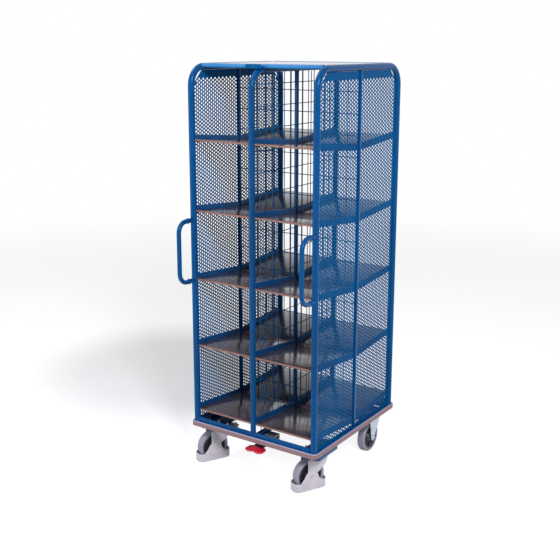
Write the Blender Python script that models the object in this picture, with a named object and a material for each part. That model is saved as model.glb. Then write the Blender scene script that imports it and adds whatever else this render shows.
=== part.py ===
"""A document trolley: a welded tube frame with ten pairs of sloping file shelves on swivel and fixed casters.

Metres, +Z up. The open fronts face -Y and +Y, the perforated sides face -X and +X, and the handles stand
out at -Y. The origin is on the floor, under the middle of the whole trolley's bounding box.
"""

import math

import bmesh
import bpy
from mathutils import Matrix, Vector

# Gaps between pieces that touch or run on each other
SEAT_GAP = 0.0003
RUNNING_GAP = 0.0005
CUT_OVERRUN = 0.004
WELD_DEPTH = 0.004

# Overall frame
POST_SPACING_X = 0.688
POST_SPACING_Y = 0.7355
FRAME_HEIGHT = 1.755
POST_RADIUS = 0.0155
BEND_RADIUS = 0.090
TUBE_SIDES = 10
BEND_STEPS = 4

# Middle divider and the upright struts
DIVIDER_RADIUS = 0.0135
STRUT_WIDTH = 0.016
SHEET_THICKNESS = 0.0015
SHEET_CORNER_CLIP = 0.085
SHEET_TOP_BAND = 0.100
SHEET_OPENINGS_ACROSS = 4
SHEET_OPENINGS_UP = 12
SHEET_OPENING_SHARE = 0.66
WIRE = 0.005
WIRE_PITCH_ACROSS = 0.100
WIRE_PITCH_UP = 0.100
FIRST_WIRE_UP = 0.066
FIRST_WIRE_ACROSS = 0.055
FIRST_CENTRE_WIRE_UP = 0.029
FIRST_CENTRE_WIRE_ACROSS = 0.031

# Top rails, the tabs welded on them, and the top board
RAIL_RADIUS = 0.0105
RAIL_INSET = 0.073
TAB_LENGTH = 0.084
TAB_SHIFT = 0.016
TAB_HEIGHT = 0.019
TAB_THICKNESS = 0.003
TAB_REACH = 0.034
TOP_BOARD_THICKNESS = 0.009
TOP_BOARD_DROP = 0.002
TOP_BOARD_FIT = 0.0008

# Shelves and the angle rails that carry them
SHELF_LEVELS = 5
FIRST_SHELF_HEIGHT = 0.064
SHELF_PITCH = 0.3358
SHELF_SLOPE = math.radians(5.0)
BOARD_THICKNESS = 0.009
BOARD_BACK_GAP = 0.0105
BOARD_SIDE_GAP = 0.0006
NOTCH_GAP = 0.003
ANGLE_LEG_UP = 0.033
ANGLE_LEG_UNDER = 0.030
ANGLE_THICKNESS = 0.003
ANGLE_BACK_END = 0.006

# Handles
HANDLE_RADIUS = 0.011
HANDLE_LOW = 0.727
HANDLE_HIGH = 1.023
HANDLE_REACH = 0.112
HANDLE_BEND = 0.050

# Base frame and bumper
MOUNT_DEPTH = 0.012
RING_HEIGHT = 0.026
RING_WIDTH = 0.030
SILL_HEIGHT = 0.022
SILL_REACH = 0.0125
SILL_WALL = 0.004
CENTRE_BAR_WIDTH = 0.016
BUMPER_REACH = 0.0098
BUMPER_CORNER = 0.025
BUMPER_EDGE = 0.004
CORNER_STEPS = 4

# Caster places and mounting boxes
CASTER_INSET_X = 0.054
CASTER_INSET_Y = 0.11775
SWIVEL_TURN = math.radians(-26.0)
MOUNT_WIDTH = 0.146
MOUNT_LENGTH = 0.190
MOUNT_CORNER = 0.020
MOUNT_SKIRT = 0.015
MOUNT_WALL = 0.003
FRONT_MOUNT_SHIFT = -0.007
REAR_MOUNT_SHIFT = -0.026

# Wheels
WHEEL_RADIUS = 0.080
TYRE_WIDTH = 0.040
TYRE_SHOULDER = 0.009
TYRE_DEPTH = 0.0175
RIM_WIDTH = 0.034
RIM_FLANGE = 0.006
WEB_WIDTH = 0.016
RIM_DEPTH = 0.0105
BOSS_RADIUS = 0.020
BOSS_WIDTH = 0.056
AXLE_RADIUS = 0.006
AXLE_HEAD_RADIUS = 0.0105
AXLE_TIP = 0.0012
BOLT_SIDES = 6
AXLE_HEAD_LENGTH = 0.006
AXLE_GAP = 0.0003
WHEEL_SIDES = 18
AXLE_SIDES = 12

# Swivel casters
CASTER_TRAIL = 0.048
CASTER_PLATE_WIDTH = 0.105
CASTER_PLATE_LENGTH = 0.135
CASTER_PLATE_THICKNESS = 0.005
CASTER_PLATE_CORNER = 0.010
HEAD_RADIUS = 0.036
HEAD_WALL = 0.008
HEAD_DROP = 0.0235
HEAD_SIDES = 16
CROWN_THICKNESS = 0.0048
TYRE_TOP_GAP = 0.0041
CROWN_RADIUS = 0.040
LEG_THICKNESS = 0.006
LEG_GAP = 0.011
CROWN_REACH = 0.036
CROWN_STEP = 0.0012
LEG_BACK = 0.0215
LEG_BACK_CORNER = 0.005
FLARE_RISE = 0.0217
SKIRT_IN = 0.002
SKIRT_DROP = 0.0145
HIP_IN = 0.009
HIP_DROP = 0.033
NOTCH_SIDE_AHEAD = 0.062
NOTCH_SIDE_RISE = 0.038
NOTCH_AHEAD = 0.030
NOTCH_RISE = 0.0157
BACK_FLARE_SHARES = ((0.30, 0.22), (0.54, 0.57), (0.85, 0.84))
FRONT_FLARE_SHARES = ((0.17, 0.39), (0.41, 0.72), (0.90, 0.95))
FORK_BOSS_RADIUS = 0.018
BOSS_STEP = 0.002
GUARD_SIDE_STEP = 0.0003
GUARD_END_GAP = 0.009
GUARD_WALL = 0.0035
GUARD_BOTTOM = 0.010
GUARD_TOP = 0.052
GUARD_CORNER = 0.030

# Fixed casters
FIXED_PLATE_WIDTH = 0.090
FIXED_PLATE_LENGTH = 0.135
FIXED_PLATE_SHIFT = 0.026
FIXED_TOP_LENGTH = 0.119
FIXED_FOOT_RADIUS = 0.017
FIXED_LEG_THICKNESS = 0.0035
FIXED_LEG_GAP = 0.0015
FOOT_STEPS = 6

# Central brake: shaft, pedal, bracket and plungers
SHAFT_RADIUS = 0.006
SHAFT_SIDES = 6
SHAFT_DROP = 0.0155
CAM_RADIUS = 0.0065
CAM_THROW = 0.0035
PEDAL_TRAVEL = math.radians(20.0)
CAM_WIDTH = 0.014
SHAFT_SLOT_GAP = 0.003
PLUNGER_RADIUS = 0.0055
PLUNGER_BORE_GAP = 0.0006
SHOE_RADIUS = 0.011
SHOE_HEIGHT = 0.007
PEDAL_X = 0.034
PEDAL_WIDTH = 0.088
PEDAL_BACK_REACH = 0.118
PEDAL_FRONT_REACH = 0.176
PEDAL_THICKNESS = 0.009
PEDAL_LOBE = 0.012
PEDAL_CORNER = 0.012
PEDAL_STEPS = 16
ARM_WIDTH = 0.026
ARM_THICKNESS = 0.005
ARM_COLLAR_RADIUS = 0.0115
BRACKET_WIDTH = 0.056
BRACKET_LENGTH = 0.060
BRACKET_THICKNESS = 0.003
BRACKET_EAR_RADIUS = 0.013

# Levels and reaches that follow from the sizes above
FACET_SHARE = math.cos(math.pi / WHEEL_SIDES)
TYRE_BORE = WHEEL_RADIUS - TYRE_DEPTH
WEB_RADIUS = TYRE_BORE - RIM_DEPTH
GUARD_LENGTH = 2 * (WHEEL_RADIUS + GUARD_END_GAP)
AXLE_HEIGHT = WHEEL_RADIUS * FACET_SHARE
CROWN_TOP = AXLE_HEIGHT + WHEEL_RADIUS + TYRE_TOP_GAP + CROWN_THICKNESS
PLATE_BOTTOM = CROWN_TOP + RUNNING_GAP + HEAD_DROP
PLATE_TOP = PLATE_BOTTOM + CASTER_PLATE_THICKNESS
CASTER_HEIGHT = PLATE_TOP + SEAT_GAP
BASE_TOP = CASTER_HEIGHT + MOUNT_DEPTH + RING_HEIGHT
HALF_X = POST_SPACING_X / 2
HALF_Y = POST_SPACING_Y / 2
CASTER_X = HALF_X - CASTER_INSET_X
CASTER_Y = HALF_Y - CASTER_INSET_Y
TOP_AXIS = BASE_TOP + FRAME_HEIGHT - POST_RADIUS
RAIL_AXIS = BASE_TOP + FRAME_HEIGHT - RAIL_RADIUS
RAIL_Y = HALF_Y - RAIL_INSET
BEND_Y = HALF_Y - BEND_RADIUS
TOP_BOARD_BOTTOM = BASE_TOP + FRAME_HEIGHT - TOP_BOARD_DROP - TOP_BOARD_THICKNESS
DIVIDER_TOP_AXIS = TOP_BOARD_BOTTOM - SEAT_GAP - DIVIDER_RADIUS
POST_FOOT = BASE_TOP + SEAT_GAP
BUMPER_HALF_X = HALF_X + POST_RADIUS + BUMPER_REACH
BUMPER_HALF_Y = HALF_Y + POST_RADIUS + BUMPER_REACH
SHAFT_HEIGHT = PLATE_TOP - SHAFT_DROP
LEG_INSIDE = TYRE_WIDTH / 2 + LEG_GAP
LEG_OUTSIDE = LEG_INSIDE + LEG_THICKNESS
GUARD_HALF_WIDTH = LEG_OUTSIDE + GUARD_SIDE_STEP
FIXED_LEG_INSIDE = BOSS_WIDTH / 2 + FIXED_LEG_GAP
FIXED_LEG_OUTSIDE = FIXED_LEG_INSIDE + FIXED_LEG_THICKNESS
PLUNGER_TRAVEL = CAM_THROW * math.sin(PEDAL_TRAVEL)
FRONT_REACH = HALF_Y + HANDLE_REACH + HANDLE_RADIUS
MIDDLE_Y = (FRONT_REACH - BUMPER_HALF_Y) / 2

FINISHES = {
    "blue_paint": ((0.010, 0.105, 0.300), 0.35, 0.0),
    "film_board": ((0.060, 0.045, 0.050), 0.30, 0.0),
    "pale_board": ((0.640, 0.600, 0.680), 0.25, 0.0),
    "bumper_plastic": ((0.250, 0.160, 0.165), 0.55, 0.0),
    "grey_plastic": ((0.420, 0.420, 0.440), 0.45, 0.0),
    "grey_rubber": ((0.300, 0.290, 0.330), 0.60, 0.0),
    "black_plastic": ((0.020, 0.020, 0.025), 0.45, 0.0),
    "zinc": ((0.620, 0.640, 0.680), 0.30, 1.0),
    "red_plastic": ((0.700, 0.005, 0.040), 0.40, 0.0),
}


def clear_scene():
    for thing in list(bpy.data.objects):
        bpy.data.objects.remove(thing, do_unlink=True)


def make_finish(name):
    colour, roughness, metallic = FINISHES[name]
    finish = bpy.data.materials.new(name)
    finish.use_nodes = True
    shader = finish.node_tree.nodes["Principled BSDF"]
    shader.inputs["Base Color"].default_value = (*colour, 1.0)
    shader.inputs["Roughness"].default_value = roughness
    shader.inputs["Metallic"].default_value = metallic
    return finish


def add_object(name, mesh, place=(0, 0, 0), turn=(0, 0, 0), parent=None):
    thing = bpy.data.objects.new(name, mesh)
    thing.location = place
    thing.rotation_euler = turn
    thing.parent = parent or TROLLEY
    bpy.context.scene.collection.objects.link(thing)
    return thing


def finished_mesh(shape, name, finish=None, smooth=False):
    bmesh.ops.remove_doubles(shape, verts=shape.verts, dist=1e-6 * POST_SPACING_X)
    bmesh.ops.recalc_face_normals(shape, faces=shape.faces)
    mesh = bpy.data.meshes.new(name)
    shape.to_mesh(mesh)
    shape.free()
    if finish:
        mesh.materials.append(MATERIALS[finish])
    if smooth:
        mesh.shade_smooth()
        mesh.set_sharp_from_angle(angle=math.radians(40))
    return mesh


def make_part(name, shape, finish, place=(0, 0, 0), turn=(0, 0, 0), parent=None, smooth=False):
    return add_object(name, finished_mesh(shape, name, finish, smooth), place, turn, parent)


def combine(thing, shape, operation, name, place=(0, 0, 0), turn=(0, 0, 0), parent=None):
    """Joins a shape to an object, or cuts it out, with a Boolean whose other object stays hidden."""
    other = add_object(f"{thing.name}_{name}", finished_mesh(shape, name), place, turn, parent or thing.parent)
    other.hide_render = True
    other.display_type = "WIRE"
    boolean = thing.modifiers.new(name, "BOOLEAN")
    boolean.operation = operation
    boolean.solver = "EXACT"
    boolean.object = other


def faces_of(geometry):
    return [item for item in geometry if isinstance(item, bmesh.types.BMFace)]


def verts_of(geometry):
    return [item for item in geometry if isinstance(item, bmesh.types.BMVert)]


def extrude(shape, faces, vector):
    grown = bmesh.ops.extrude_face_region(shape, geom=faces)["geom"]
    bmesh.ops.translate(shape, vec=vector, verts=verts_of(grown))
    return faces_of(grown)


def prism(outline, vector):
    """A flat outline of (x, y, z) points, extruded along a vector."""
    shape = bmesh.new()
    face = shape.faces.new([shape.verts.new(point) for point in outline])
    extrude(shape, [face], vector)
    return shape


def box(low, high, shape=None):
    shape = shape or bmesh.new()
    size = Vector(high) - Vector(low)
    matrix = Matrix.Translation((Vector(low) + Vector(high)) / 2) @ Matrix.Diagonal((*size, 1))
    bmesh.ops.create_cube(shape, size=1, matrix=matrix)
    return shape


def rod(start, end, radius, sides, shape=None):
    """A straight round bar from one point to another."""
    shape = shape or bmesh.new()
    along = Vector(end) - Vector(start)
    turn = Vector((0, 0, 1)).rotation_difference(along).to_matrix().to_4x4()
    matrix = Matrix.Translation((Vector(start) + Vector(end)) / 2) @ turn
    bmesh.ops.create_cone(
        shape, cap_ends=True, segments=sides, radius1=radius, radius2=radius, depth=along.length, matrix=matrix
    )
    return shape


class BentTube:
    """A round tube that starts as a disc and grows by straight runs and bends."""

    def __init__(self, start, along, radius, sides=TUBE_SIDES):
        self.shape = bmesh.new()
        turn = Vector((0, 0, 1)).rotation_difference(Vector(along)).to_matrix().to_4x4()
        matrix = Matrix.Translation(start) @ turn
        bmesh.ops.create_circle(self.shape, cap_ends=True, segments=sides, radius=radius, matrix=matrix)
        self.end = list(self.shape.faces)

    def run(self, vector):
        old = self.end
        self.end = extrude(self.shape, old, vector)
        self.drop_inner(old)

    def bend(self, centre, axis, angle, steps=BEND_STEPS):
        old = self.end
        grown = bmesh.ops.spin(self.shape, geom=old, cent=centre, axis=axis, angle=angle, steps=steps)
        self.end = faces_of(grown["geom_last"])
        self.drop_inner(old)

    def drop_inner(self, old):
        """Takes out the disc that a bend leaves inside the tube at a joint."""
        inner = [disc for disc in old if disc.is_valid and len(disc.edges[0].link_faces) > 2]
        bmesh.ops.delete(self.shape, geom=inner, context="FACES_ONLY")


def rounded_rectangle(half_x, half_y, corner, z, steps=CORNER_STEPS):
    """The points of a rectangle with round corners, counter-clockwise."""
    points = []
    corners = ((1, -1, -90), (1, 1, 0), (-1, 1, 90), (-1, -1, 180))
    for sign_x, sign_y, first in corners:
        for step in range(steps + 1):
            angle = math.radians(first + 90 * step / steps)
            x = sign_x * (half_x - corner) + corner * math.cos(angle)
            y = sign_y * (half_y - corner) + corner * math.sin(angle)
            points.append((x, y, z))
    return points


def edge_loop(shape, points):
    verts = [shape.verts.new(point) for point in points]
    return [shape.edges.new((a, b)) for a, b in zip(verts, verts[1:] + verts[:1])]


def ring_prism(outer, inner, height):
    """The band between two loops of as many points, extruded upwards."""
    shape = bmesh.new()
    edges = edge_loop(shape, outer) + edge_loop(shape, inner)
    band = bmesh.ops.bridge_loops(shape, edges=edges)["faces"]
    extrude(shape, band, (0, 0, height))
    return shape


def turned(profile, sides):
    """A closed profile of (x, radius) points, turned about the X axis with a flat facet at the bottom."""
    shape = bmesh.new()
    lean = math.pi / sides
    verts = [shape.verts.new((x, radius * math.sin(lean), -radius * math.cos(lean))) for x, radius in profile]
    edges = [shape.edges.new((a, b)) for a, b in zip(verts, verts[1:] + verts[:1])]
    bmesh.ops.spin(
        shape, geom=edges, cent=(0, 0, 0), axis=(1, 0, 0), angle=2 * math.pi, steps=sides, use_merge=True
    )
    return shape


def side_y(half, y):
    """Y on the front half, and mirrored on the rear half."""
    return y if half == "front" else -y


def make_hoop(radius, top_axis):
    """A tube bent to an upside-down U in the YZ plane, standing on the base ring."""
    bend_z = top_axis - BEND_RADIUS
    hoop = BentTube((0, -HALF_Y, POST_FOOT), (0, 0, 1), radius)
    hoop.run((0, 0, bend_z - POST_FOOT))
    hoop.bend((0, -BEND_Y, bend_z), (1, 0, 0), -math.pi / 2)
    hoop.run((0, 2 * BEND_Y, 0))
    hoop.bend((0, BEND_Y, bend_z), (1, 0, 0), -math.pi / 2)
    hoop.run((0, 0, POST_FOOT - bend_z))
    return hoop.shape


def shelf_front_height(level):
    return BASE_TOP + FIRST_SHELF_HEIGHT + level * SHELF_PITCH


def slope_to_world(half, level):
    """Takes a shelf's own frame, with Y along the slope from its front edge, to the trolley's."""
    matrix = Matrix.Translation((0, -HALF_Y, shelf_front_height(level))) @ Matrix.Rotation(-SHELF_SLOPE, 4, "X")
    return matrix if half == "front" else Matrix.Scale(-1, 4, (0, 1, 0)) @ matrix


def make_angles(places, front_gap):
    """Every angle rail of one frame, as one mesh. places gives the wall's x and the way the rail faces."""
    shape = bmesh.new()
    start = front_gap - WELD_DEPTH
    end = (HALF_Y - ANGLE_BACK_END) / math.cos(SHELF_SLOPE)
    under = -BOARD_THICKNESS - SEAT_GAP
    for wall, way in places:
        for level in range(SHELF_LEVELS):
            for half in ("front", "rear"):
                inside = wall + way * ANGLE_THICKNESS
                tip = wall + way * ANGLE_LEG_UNDER
                outline = [
                    (wall, under - ANGLE_THICKNESS),
                    (tip, under - ANGLE_THICKNESS),
                    (tip, under),
                    (inside, under),
                    (inside, under - ANGLE_THICKNESS + ANGLE_LEG_UP),
                    (wall, under - ANGLE_THICKNESS + ANGLE_LEG_UP),
                ]
                face = shape.faces.new([shape.verts.new((x, start, z)) for x, z in outline])
                grown = extrude(shape, [face], (0, end - start, 0))
                rail = {vert for side in grown for vert in side.verts} | set(face_ring(face))
                bmesh.ops.transform(shape, matrix=slope_to_world(half, level), verts=list(rail))
    return shape


def face_ring(face):
    return [vert for vert in face.verts]


def strut_box(top_axis, radius):
    """The upright bar in the middle of a hoop, welded into its top tube."""
    return box(
        (-STRUT_WIDTH / 2, -STRUT_WIDTH / 2, POST_FOOT),
        (STRUT_WIDTH / 2, STRUT_WIDTH / 2, top_axis - radius + WELD_DEPTH),
    )


def make_side_frame(side, sign):
    wall = sign * (HALF_X - SHEET_THICKNESS / 2 - SEAT_GAP)
    frame = make_part(
        f"side_frame_{side}", make_hoop(POST_RADIUS, TOP_AXIS), "blue_paint", (sign * HALF_X, 0, 0), smooth=True
    )
    combine(frame, strut_box(TOP_AXIS, POST_RADIUS), "UNION", "strut", (sign * HALF_X, 0, 0))
    combine(frame, make_angles([(wall, -sign)], POST_RADIUS), "UNION", "angles")


def make_divider_frame():
    wall = WIRE / 2 + SEAT_GAP
    frame = make_part(
        "divider_frame", make_hoop(DIVIDER_RADIUS, DIVIDER_TOP_AXIS), "blue_paint", smooth=True
    )
    combine(frame, strut_box(DIVIDER_TOP_AXIS, DIVIDER_RADIUS), "UNION", "strut")
    combine(frame, make_angles([(wall, 1), (-wall, -1)], DIVIDER_RADIUS), "UNION", "angles")


def grid_lines(low, high, count):
    """Where the openings of a plain grid start and end between low and high, with the two ends."""
    pitch = (high - low) / count
    bar = pitch * (1 - SHEET_OPENING_SHARE) / 2
    lines = [low]
    for step in range(count):
        lines += [low + step * pitch + bar, low + (step + 1) * pitch - bar]
    return lines + [high]


def make_side_sheet(side, sign, half):
    """Half of a side's sheet: a plain grid of openings under a band whose upper corner is clipped at the bend."""
    outer = HALF_Y - POST_RADIUS - SEAT_GAP
    inner = STRUT_WIDTH / 2 + SEAT_GAP
    top = TOP_AXIS - POST_RADIUS - SEAT_GAP
    band = top - SHEET_TOP_BAND
    x = sign * HALF_X - SHEET_THICKNESS / 2
    across = grid_lines(inner, outer, SHEET_OPENINGS_ACROSS)
    up = grid_lines(BASE_TOP + SEAT_GAP, band, SHEET_OPENINGS_UP)
    shape = bmesh.new()
    rows = [[shape.verts.new((x, side_y(half, -y), z)) for y in across] for z in up]
    faces = []
    for row in range(len(up) - 1):
        for column in range(len(across) - 1):
            if row % 2 == 0 or column % 2 == 0:
                low, high = rows[row], rows[row + 1]
                faces.append(shape.faces.new((low[column], low[column + 1], high[column + 1], high[column])))
    corners = [(outer, top - SHEET_CORNER_CLIP), (outer - SHEET_CORNER_CLIP, top), (inner, top)]
    faces.append(shape.faces.new(rows[-1] + [shape.verts.new((x, side_y(half, -y), z)) for y, z in corners]))
    extrude(shape, faces, (SHEET_THICKNESS, 0, 0))
    make_part(f"side_sheet_{side}_{half}", shape, "blue_paint")


def make_lattice(uprights, levels, low, high, start, top_at, end_at):
    """A flat net of crossing wires in the XZ plane: faces where a wire passes, extruded by its thickness."""
    shape = bmesh.new()
    half = WIRE / 2
    across = [start] + [place + shift for place in uprights for shift in (-half, half)]
    up = [low] + [level + shift for level in levels for shift in (-half, half)] + [high]
    rows = []
    for z in up:
        row = [shape.verts.new((x, -half, min(z, top_at(x)))) for x in across]
        row.append(shape.verts.new((end_at(z), -half, z)))
        rows.append(row)
    faces = []
    for row in range(len(up) - 1):
        for column in range(len(across)):
            if row % 2 == 1 or column % 2 == 1:
                corners = (
                    rows[row][column],
                    rows[row][column + 1],
                    rows[row + 1][column + 1],
                    rows[row + 1][column],
                )
                faces.append(shape.faces.new(corners))
    loose = [vert for vert in shape.verts if not vert.link_faces]
    bmesh.ops.delete(shape, geom=loose, context="VERTS")
    extrude(shape, faces, (0, WIRE, 0))
    return shape


def wire_places(first, reach, pitch):
    """Places a pitch apart, from the first one to the last that leaves room for a wire."""
    count = int((reach - first - WIRE) / pitch) + 1
    return [first + step * pitch for step in range(count)]


def make_divider_mesh(half):
    """The net in one half of the divider. It is built along X and turned to run along Y."""
    start = STRUT_WIDTH / 2 + SEAT_GAP
    end = HALF_Y - DIVIDER_RADIUS - SEAT_GAP
    bend_z = DIVIDER_TOP_AXIS - BEND_RADIUS
    inside = (BEND_RADIUS - DIVIDER_RADIUS) * math.cos(math.pi / 4 / BEND_STEPS) - SEAT_GAP
    high = bend_z + inside

    def top_at(along):
        past = max(0.0, along - BEND_Y)
        return bend_z + math.sqrt(max(inside**2 - past**2, 0.0))

    def end_at(height):
        rise = height - bend_z
        return end if rise < 0 else BEND_Y + math.sqrt(max(inside**2 - rise**2, 0.0))

    low = BASE_TOP + SEAT_GAP
    uprights = wire_places(FIRST_WIRE_ACROSS, BEND_Y + inside / 2, WIRE_PITCH_ACROSS)
    levels = wire_places(BASE_TOP + FIRST_WIRE_UP, bend_z + inside / 2, WIRE_PITCH_UP)
    shape = make_lattice(uprights, levels, low, high, start, top_at, end_at)
    quarter_turn = math.pi / 2 if half == "rear" else -math.pi / 2
    make_part(f"divider_mesh_{half}", shape, "blue_paint", turn=(0, 0, quarter_turn))


def make_centre_mesh(side, sign):
    """The net across one column, which parts the front shelves from the rear ones."""
    start = STRUT_WIDTH / 2 + SEAT_GAP
    end = HALF_X - STRUT_WIDTH / 2 - SEAT_GAP
    high = DIVIDER_TOP_AXIS - DIVIDER_RADIUS
    low = BASE_TOP + SEAT_GAP
    uprights = wire_places(FIRST_CENTRE_WIRE_ACROSS, end, WIRE_PITCH_ACROSS)
    levels = wire_places(BASE_TOP + FIRST_CENTRE_WIRE_UP, high, WIRE_PITCH_UP)
    shape = make_lattice(uprights, levels, low, high, start, lambda along: high, lambda height: end)
    make_part(f"centre_mesh_{side}", shape, "blue_paint", turn=(0, 0, 0 if sign > 0 else math.pi))


def make_shelf(side, sign, level, half):
    """One board, notched at its front corners round the two posts."""
    inner = WIRE / 2 + SEAT_GAP + ANGLE_THICKNESS + BOARD_SIDE_GAP
    outer = HALF_X - SHEET_THICKNESS / 2 - SEAT_GAP - ANGLE_THICKNESS - BOARD_SIDE_GAP
    inner_notch = DIVIDER_RADIUS + BOARD_SIDE_GAP
    outer_notch = HALF_X - POST_RADIUS - BOARD_SIDE_GAP
    back = (HALF_Y - BOARD_BACK_GAP) / math.cos(SHELF_SLOPE)
    inner_depth = DIVIDER_RADIUS + NOTCH_GAP
    outer_depth = POST_RADIUS + NOTCH_GAP
    plan = [
        (inner_notch, 0),
        (outer_notch, 0),
        (outer_notch, outer_depth),
        (outer, outer_depth),
        (outer, back),
        (inner, back),
        (inner, inner_depth),
        (inner_notch, inner_depth),
    ]
    shape = prism([(sign * x, y, -BOARD_THICKNESS) for x, y in plan], (0, 0, BOARD_THICKNESS))
    bmesh.ops.transform(shape, matrix=slope_to_world(half, level), verts=shape.verts)
    make_part(f"shelf_{level + 1}_{side}_{half}", shape, "film_board")


def make_top_rail(half):
    """A round rail between the side frames, notched over the divider, with a short flat tab beside it."""
    y = side_y(half, -RAIL_Y)
    reach = HALF_X - POST_RADIUS - SEAT_GAP
    bar = rod((-reach, y, RAIL_AXIS), (reach, y, RAIL_AXIS), RAIL_RADIUS, TUBE_SIDES)
    rail = make_part(f"top_rail_{half}", bar, "blue_paint", smooth=True)
    back = y + side_y(half, -TAB_REACH)
    front = back + side_y(half, -TAB_THICKNESS)
    middle_x = -TAB_SHIFT
    plate = box(
        (middle_x - TAB_LENGTH / 2, min(back, front), RAIL_AXIS - TAB_HEIGHT / 2),
        (middle_x + TAB_LENGTH / 2, max(back, front), RAIL_AXIS + TAB_HEIGHT / 2),
    )
    combine(rail, plate, "UNION", "tab")
    middle_y = (back + front) / 2
    web = box(
        (middle_x - TAB_LENGTH / 2 + SEAT_GAP, min(y, middle_y), RAIL_AXIS - TAB_THICKNESS / 2),
        (middle_x + TAB_LENGTH / 2 - SEAT_GAP, max(y, middle_y), RAIL_AXIS + TAB_THICKNESS / 2),
    )
    combine(rail, web, "UNION", "web")
    combine(rail, make_hoop(DIVIDER_RADIUS + SEAT_GAP, DIVIDER_TOP_AXIS), "DIFFERENCE", "notch")


def make_top_board():
    """The board that lies on the divider, between the side frames and the top rails."""
    half_x = HALF_X - POST_RADIUS - TOP_BOARD_FIT
    half_y = RAIL_Y - RAIL_RADIUS - TOP_BOARD_FIT
    top = TOP_BOARD_BOTTOM + TOP_BOARD_THICKNESS
    make_part("top_board", box((-half_x, -half_y, TOP_BOARD_BOTTOM), (half_x, half_y, top)), "pale_board")


def make_base_frame():
    """The low ring under the posts, a bar along its middle, and the sills between the posts."""
    bottom = CASTER_HEIGHT + MOUNT_DEPTH + SEAT_GAP
    height = RING_HEIGHT - SEAT_GAP
    half_x = HALF_X + POST_RADIUS
    half_y = HALF_Y + POST_RADIUS
    corner = BUMPER_CORNER - BUMPER_REACH
    outer = rounded_rectangle(half_x, half_y, corner, bottom)
    inner = rounded_rectangle(half_x - RING_WIDTH, half_y - RING_WIDTH, corner, bottom)
    frame = make_part("base_frame", ring_prism(outer, inner, height), "blue_paint")
    bar_end = half_y - RING_WIDTH + WELD_DEPTH
    bar = box(
        (-CENTRE_BAR_WIDTH / 2, -bar_end, bottom + SEAT_GAP),
        (CENTRE_BAR_WIDTH / 2, bar_end, BASE_TOP - SEAT_GAP),
    )
    combine(frame, bar, "UNION", "centre_bar")
    sills = bmesh.new()
    back = SILL_REACH - SILL_WALL
    start = math.sqrt(DIVIDER_RADIUS**2 - back**2) + SEAT_GAP
    end = HALF_X - math.sqrt(POST_RADIUS**2 - back**2) - SEAT_GAP
    for way in (-1, 1):
        low, high = sorted((way * (HALF_Y + back), way * (HALF_Y + SILL_REACH)))
        for sign in (-1, 1):
            near, far = sorted((sign * start, sign * end))
            box((near, low, BASE_TOP - WELD_DEPTH), (far, high, BASE_TOP + SILL_HEIGHT), sills)
    combine(frame, sills, "UNION", "sills")
    mounts = bmesh.new()
    for sign in (-1, 1):
        for shift, y in ((FRONT_MOUNT_SHIFT, -CASTER_Y), (REAR_MOUNT_SHIFT, CASTER_Y)):
            plan = rounded_rectangle(MOUNT_WIDTH / 2, MOUNT_LENGTH / 2, MOUNT_CORNER, CASTER_HEIGHT)
            x = sign * (CASTER_X + shift)
            face = mounts.faces.new([mounts.verts.new((px + x, py + y, pz)) for px, py, pz in plan])
            extrude(mounts, [face], (0, 0, MOUNT_DEPTH + WELD_DEPTH))
    combine(frame, mounts, "UNION", "caster_mounts")
    for side, sign in SIDES:
        x = sign * (CASTER_X + FRONT_MOUNT_SHIFT)
        combine(frame, mount_skirt(), "UNION", f"skirt_{side}", (x, -CASTER_Y, 0))
    slots = bmesh.new()
    half_slot = SHAFT_RADIUS + SHAFT_SLOT_GAP
    for sign in (-1, 1):
        wall = sign * (CASTER_X + FRONT_MOUNT_SHIFT - MOUNT_WIDTH / 2)
        low = (wall - 2 * MOUNT_WALL, -CASTER_Y - half_slot, CASTER_HEIGHT - MOUNT_SKIRT - WELD_DEPTH)
        box(low, (wall + 2 * MOUNT_WALL, -CASTER_Y + half_slot, SHAFT_HEIGHT + half_slot), slots)
    combine(frame, slots, "DIFFERENCE", "shaft_slots")
    combine(frame, pedal_bracket(), "UNION", "pedal_bracket")
    bore = rod(
        (PEDAL_X - BRACKET_WIDTH, -CASTER_Y, SHAFT_HEIGHT),
        (PEDAL_X + BRACKET_WIDTH, -CASTER_Y, SHAFT_HEIGHT),
        (SHAFT_RADIUS + RUNNING_GAP) / math.cos(math.pi / HEAD_SIDES),
        HEAD_SIDES,
    )
    combine(frame, bore, "DIFFERENCE", "shaft_bore")


def mount_skirt():
    """The thin wall that a front mounting box turns down round its caster's plate."""
    low = CASTER_HEIGHT - MOUNT_SKIRT
    half_x = MOUNT_WIDTH / 2 - SEAT_GAP
    half_y = MOUNT_LENGTH / 2 - SEAT_GAP
    outer = rounded_rectangle(half_x, half_y, MOUNT_CORNER - SEAT_GAP, low)
    inner = rounded_rectangle(half_x - MOUNT_WALL, half_y - MOUNT_WALL, MOUNT_CORNER - MOUNT_WALL, low)
    return ring_prism(outer, inner, MOUNT_SKIRT + WELD_DEPTH)


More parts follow.
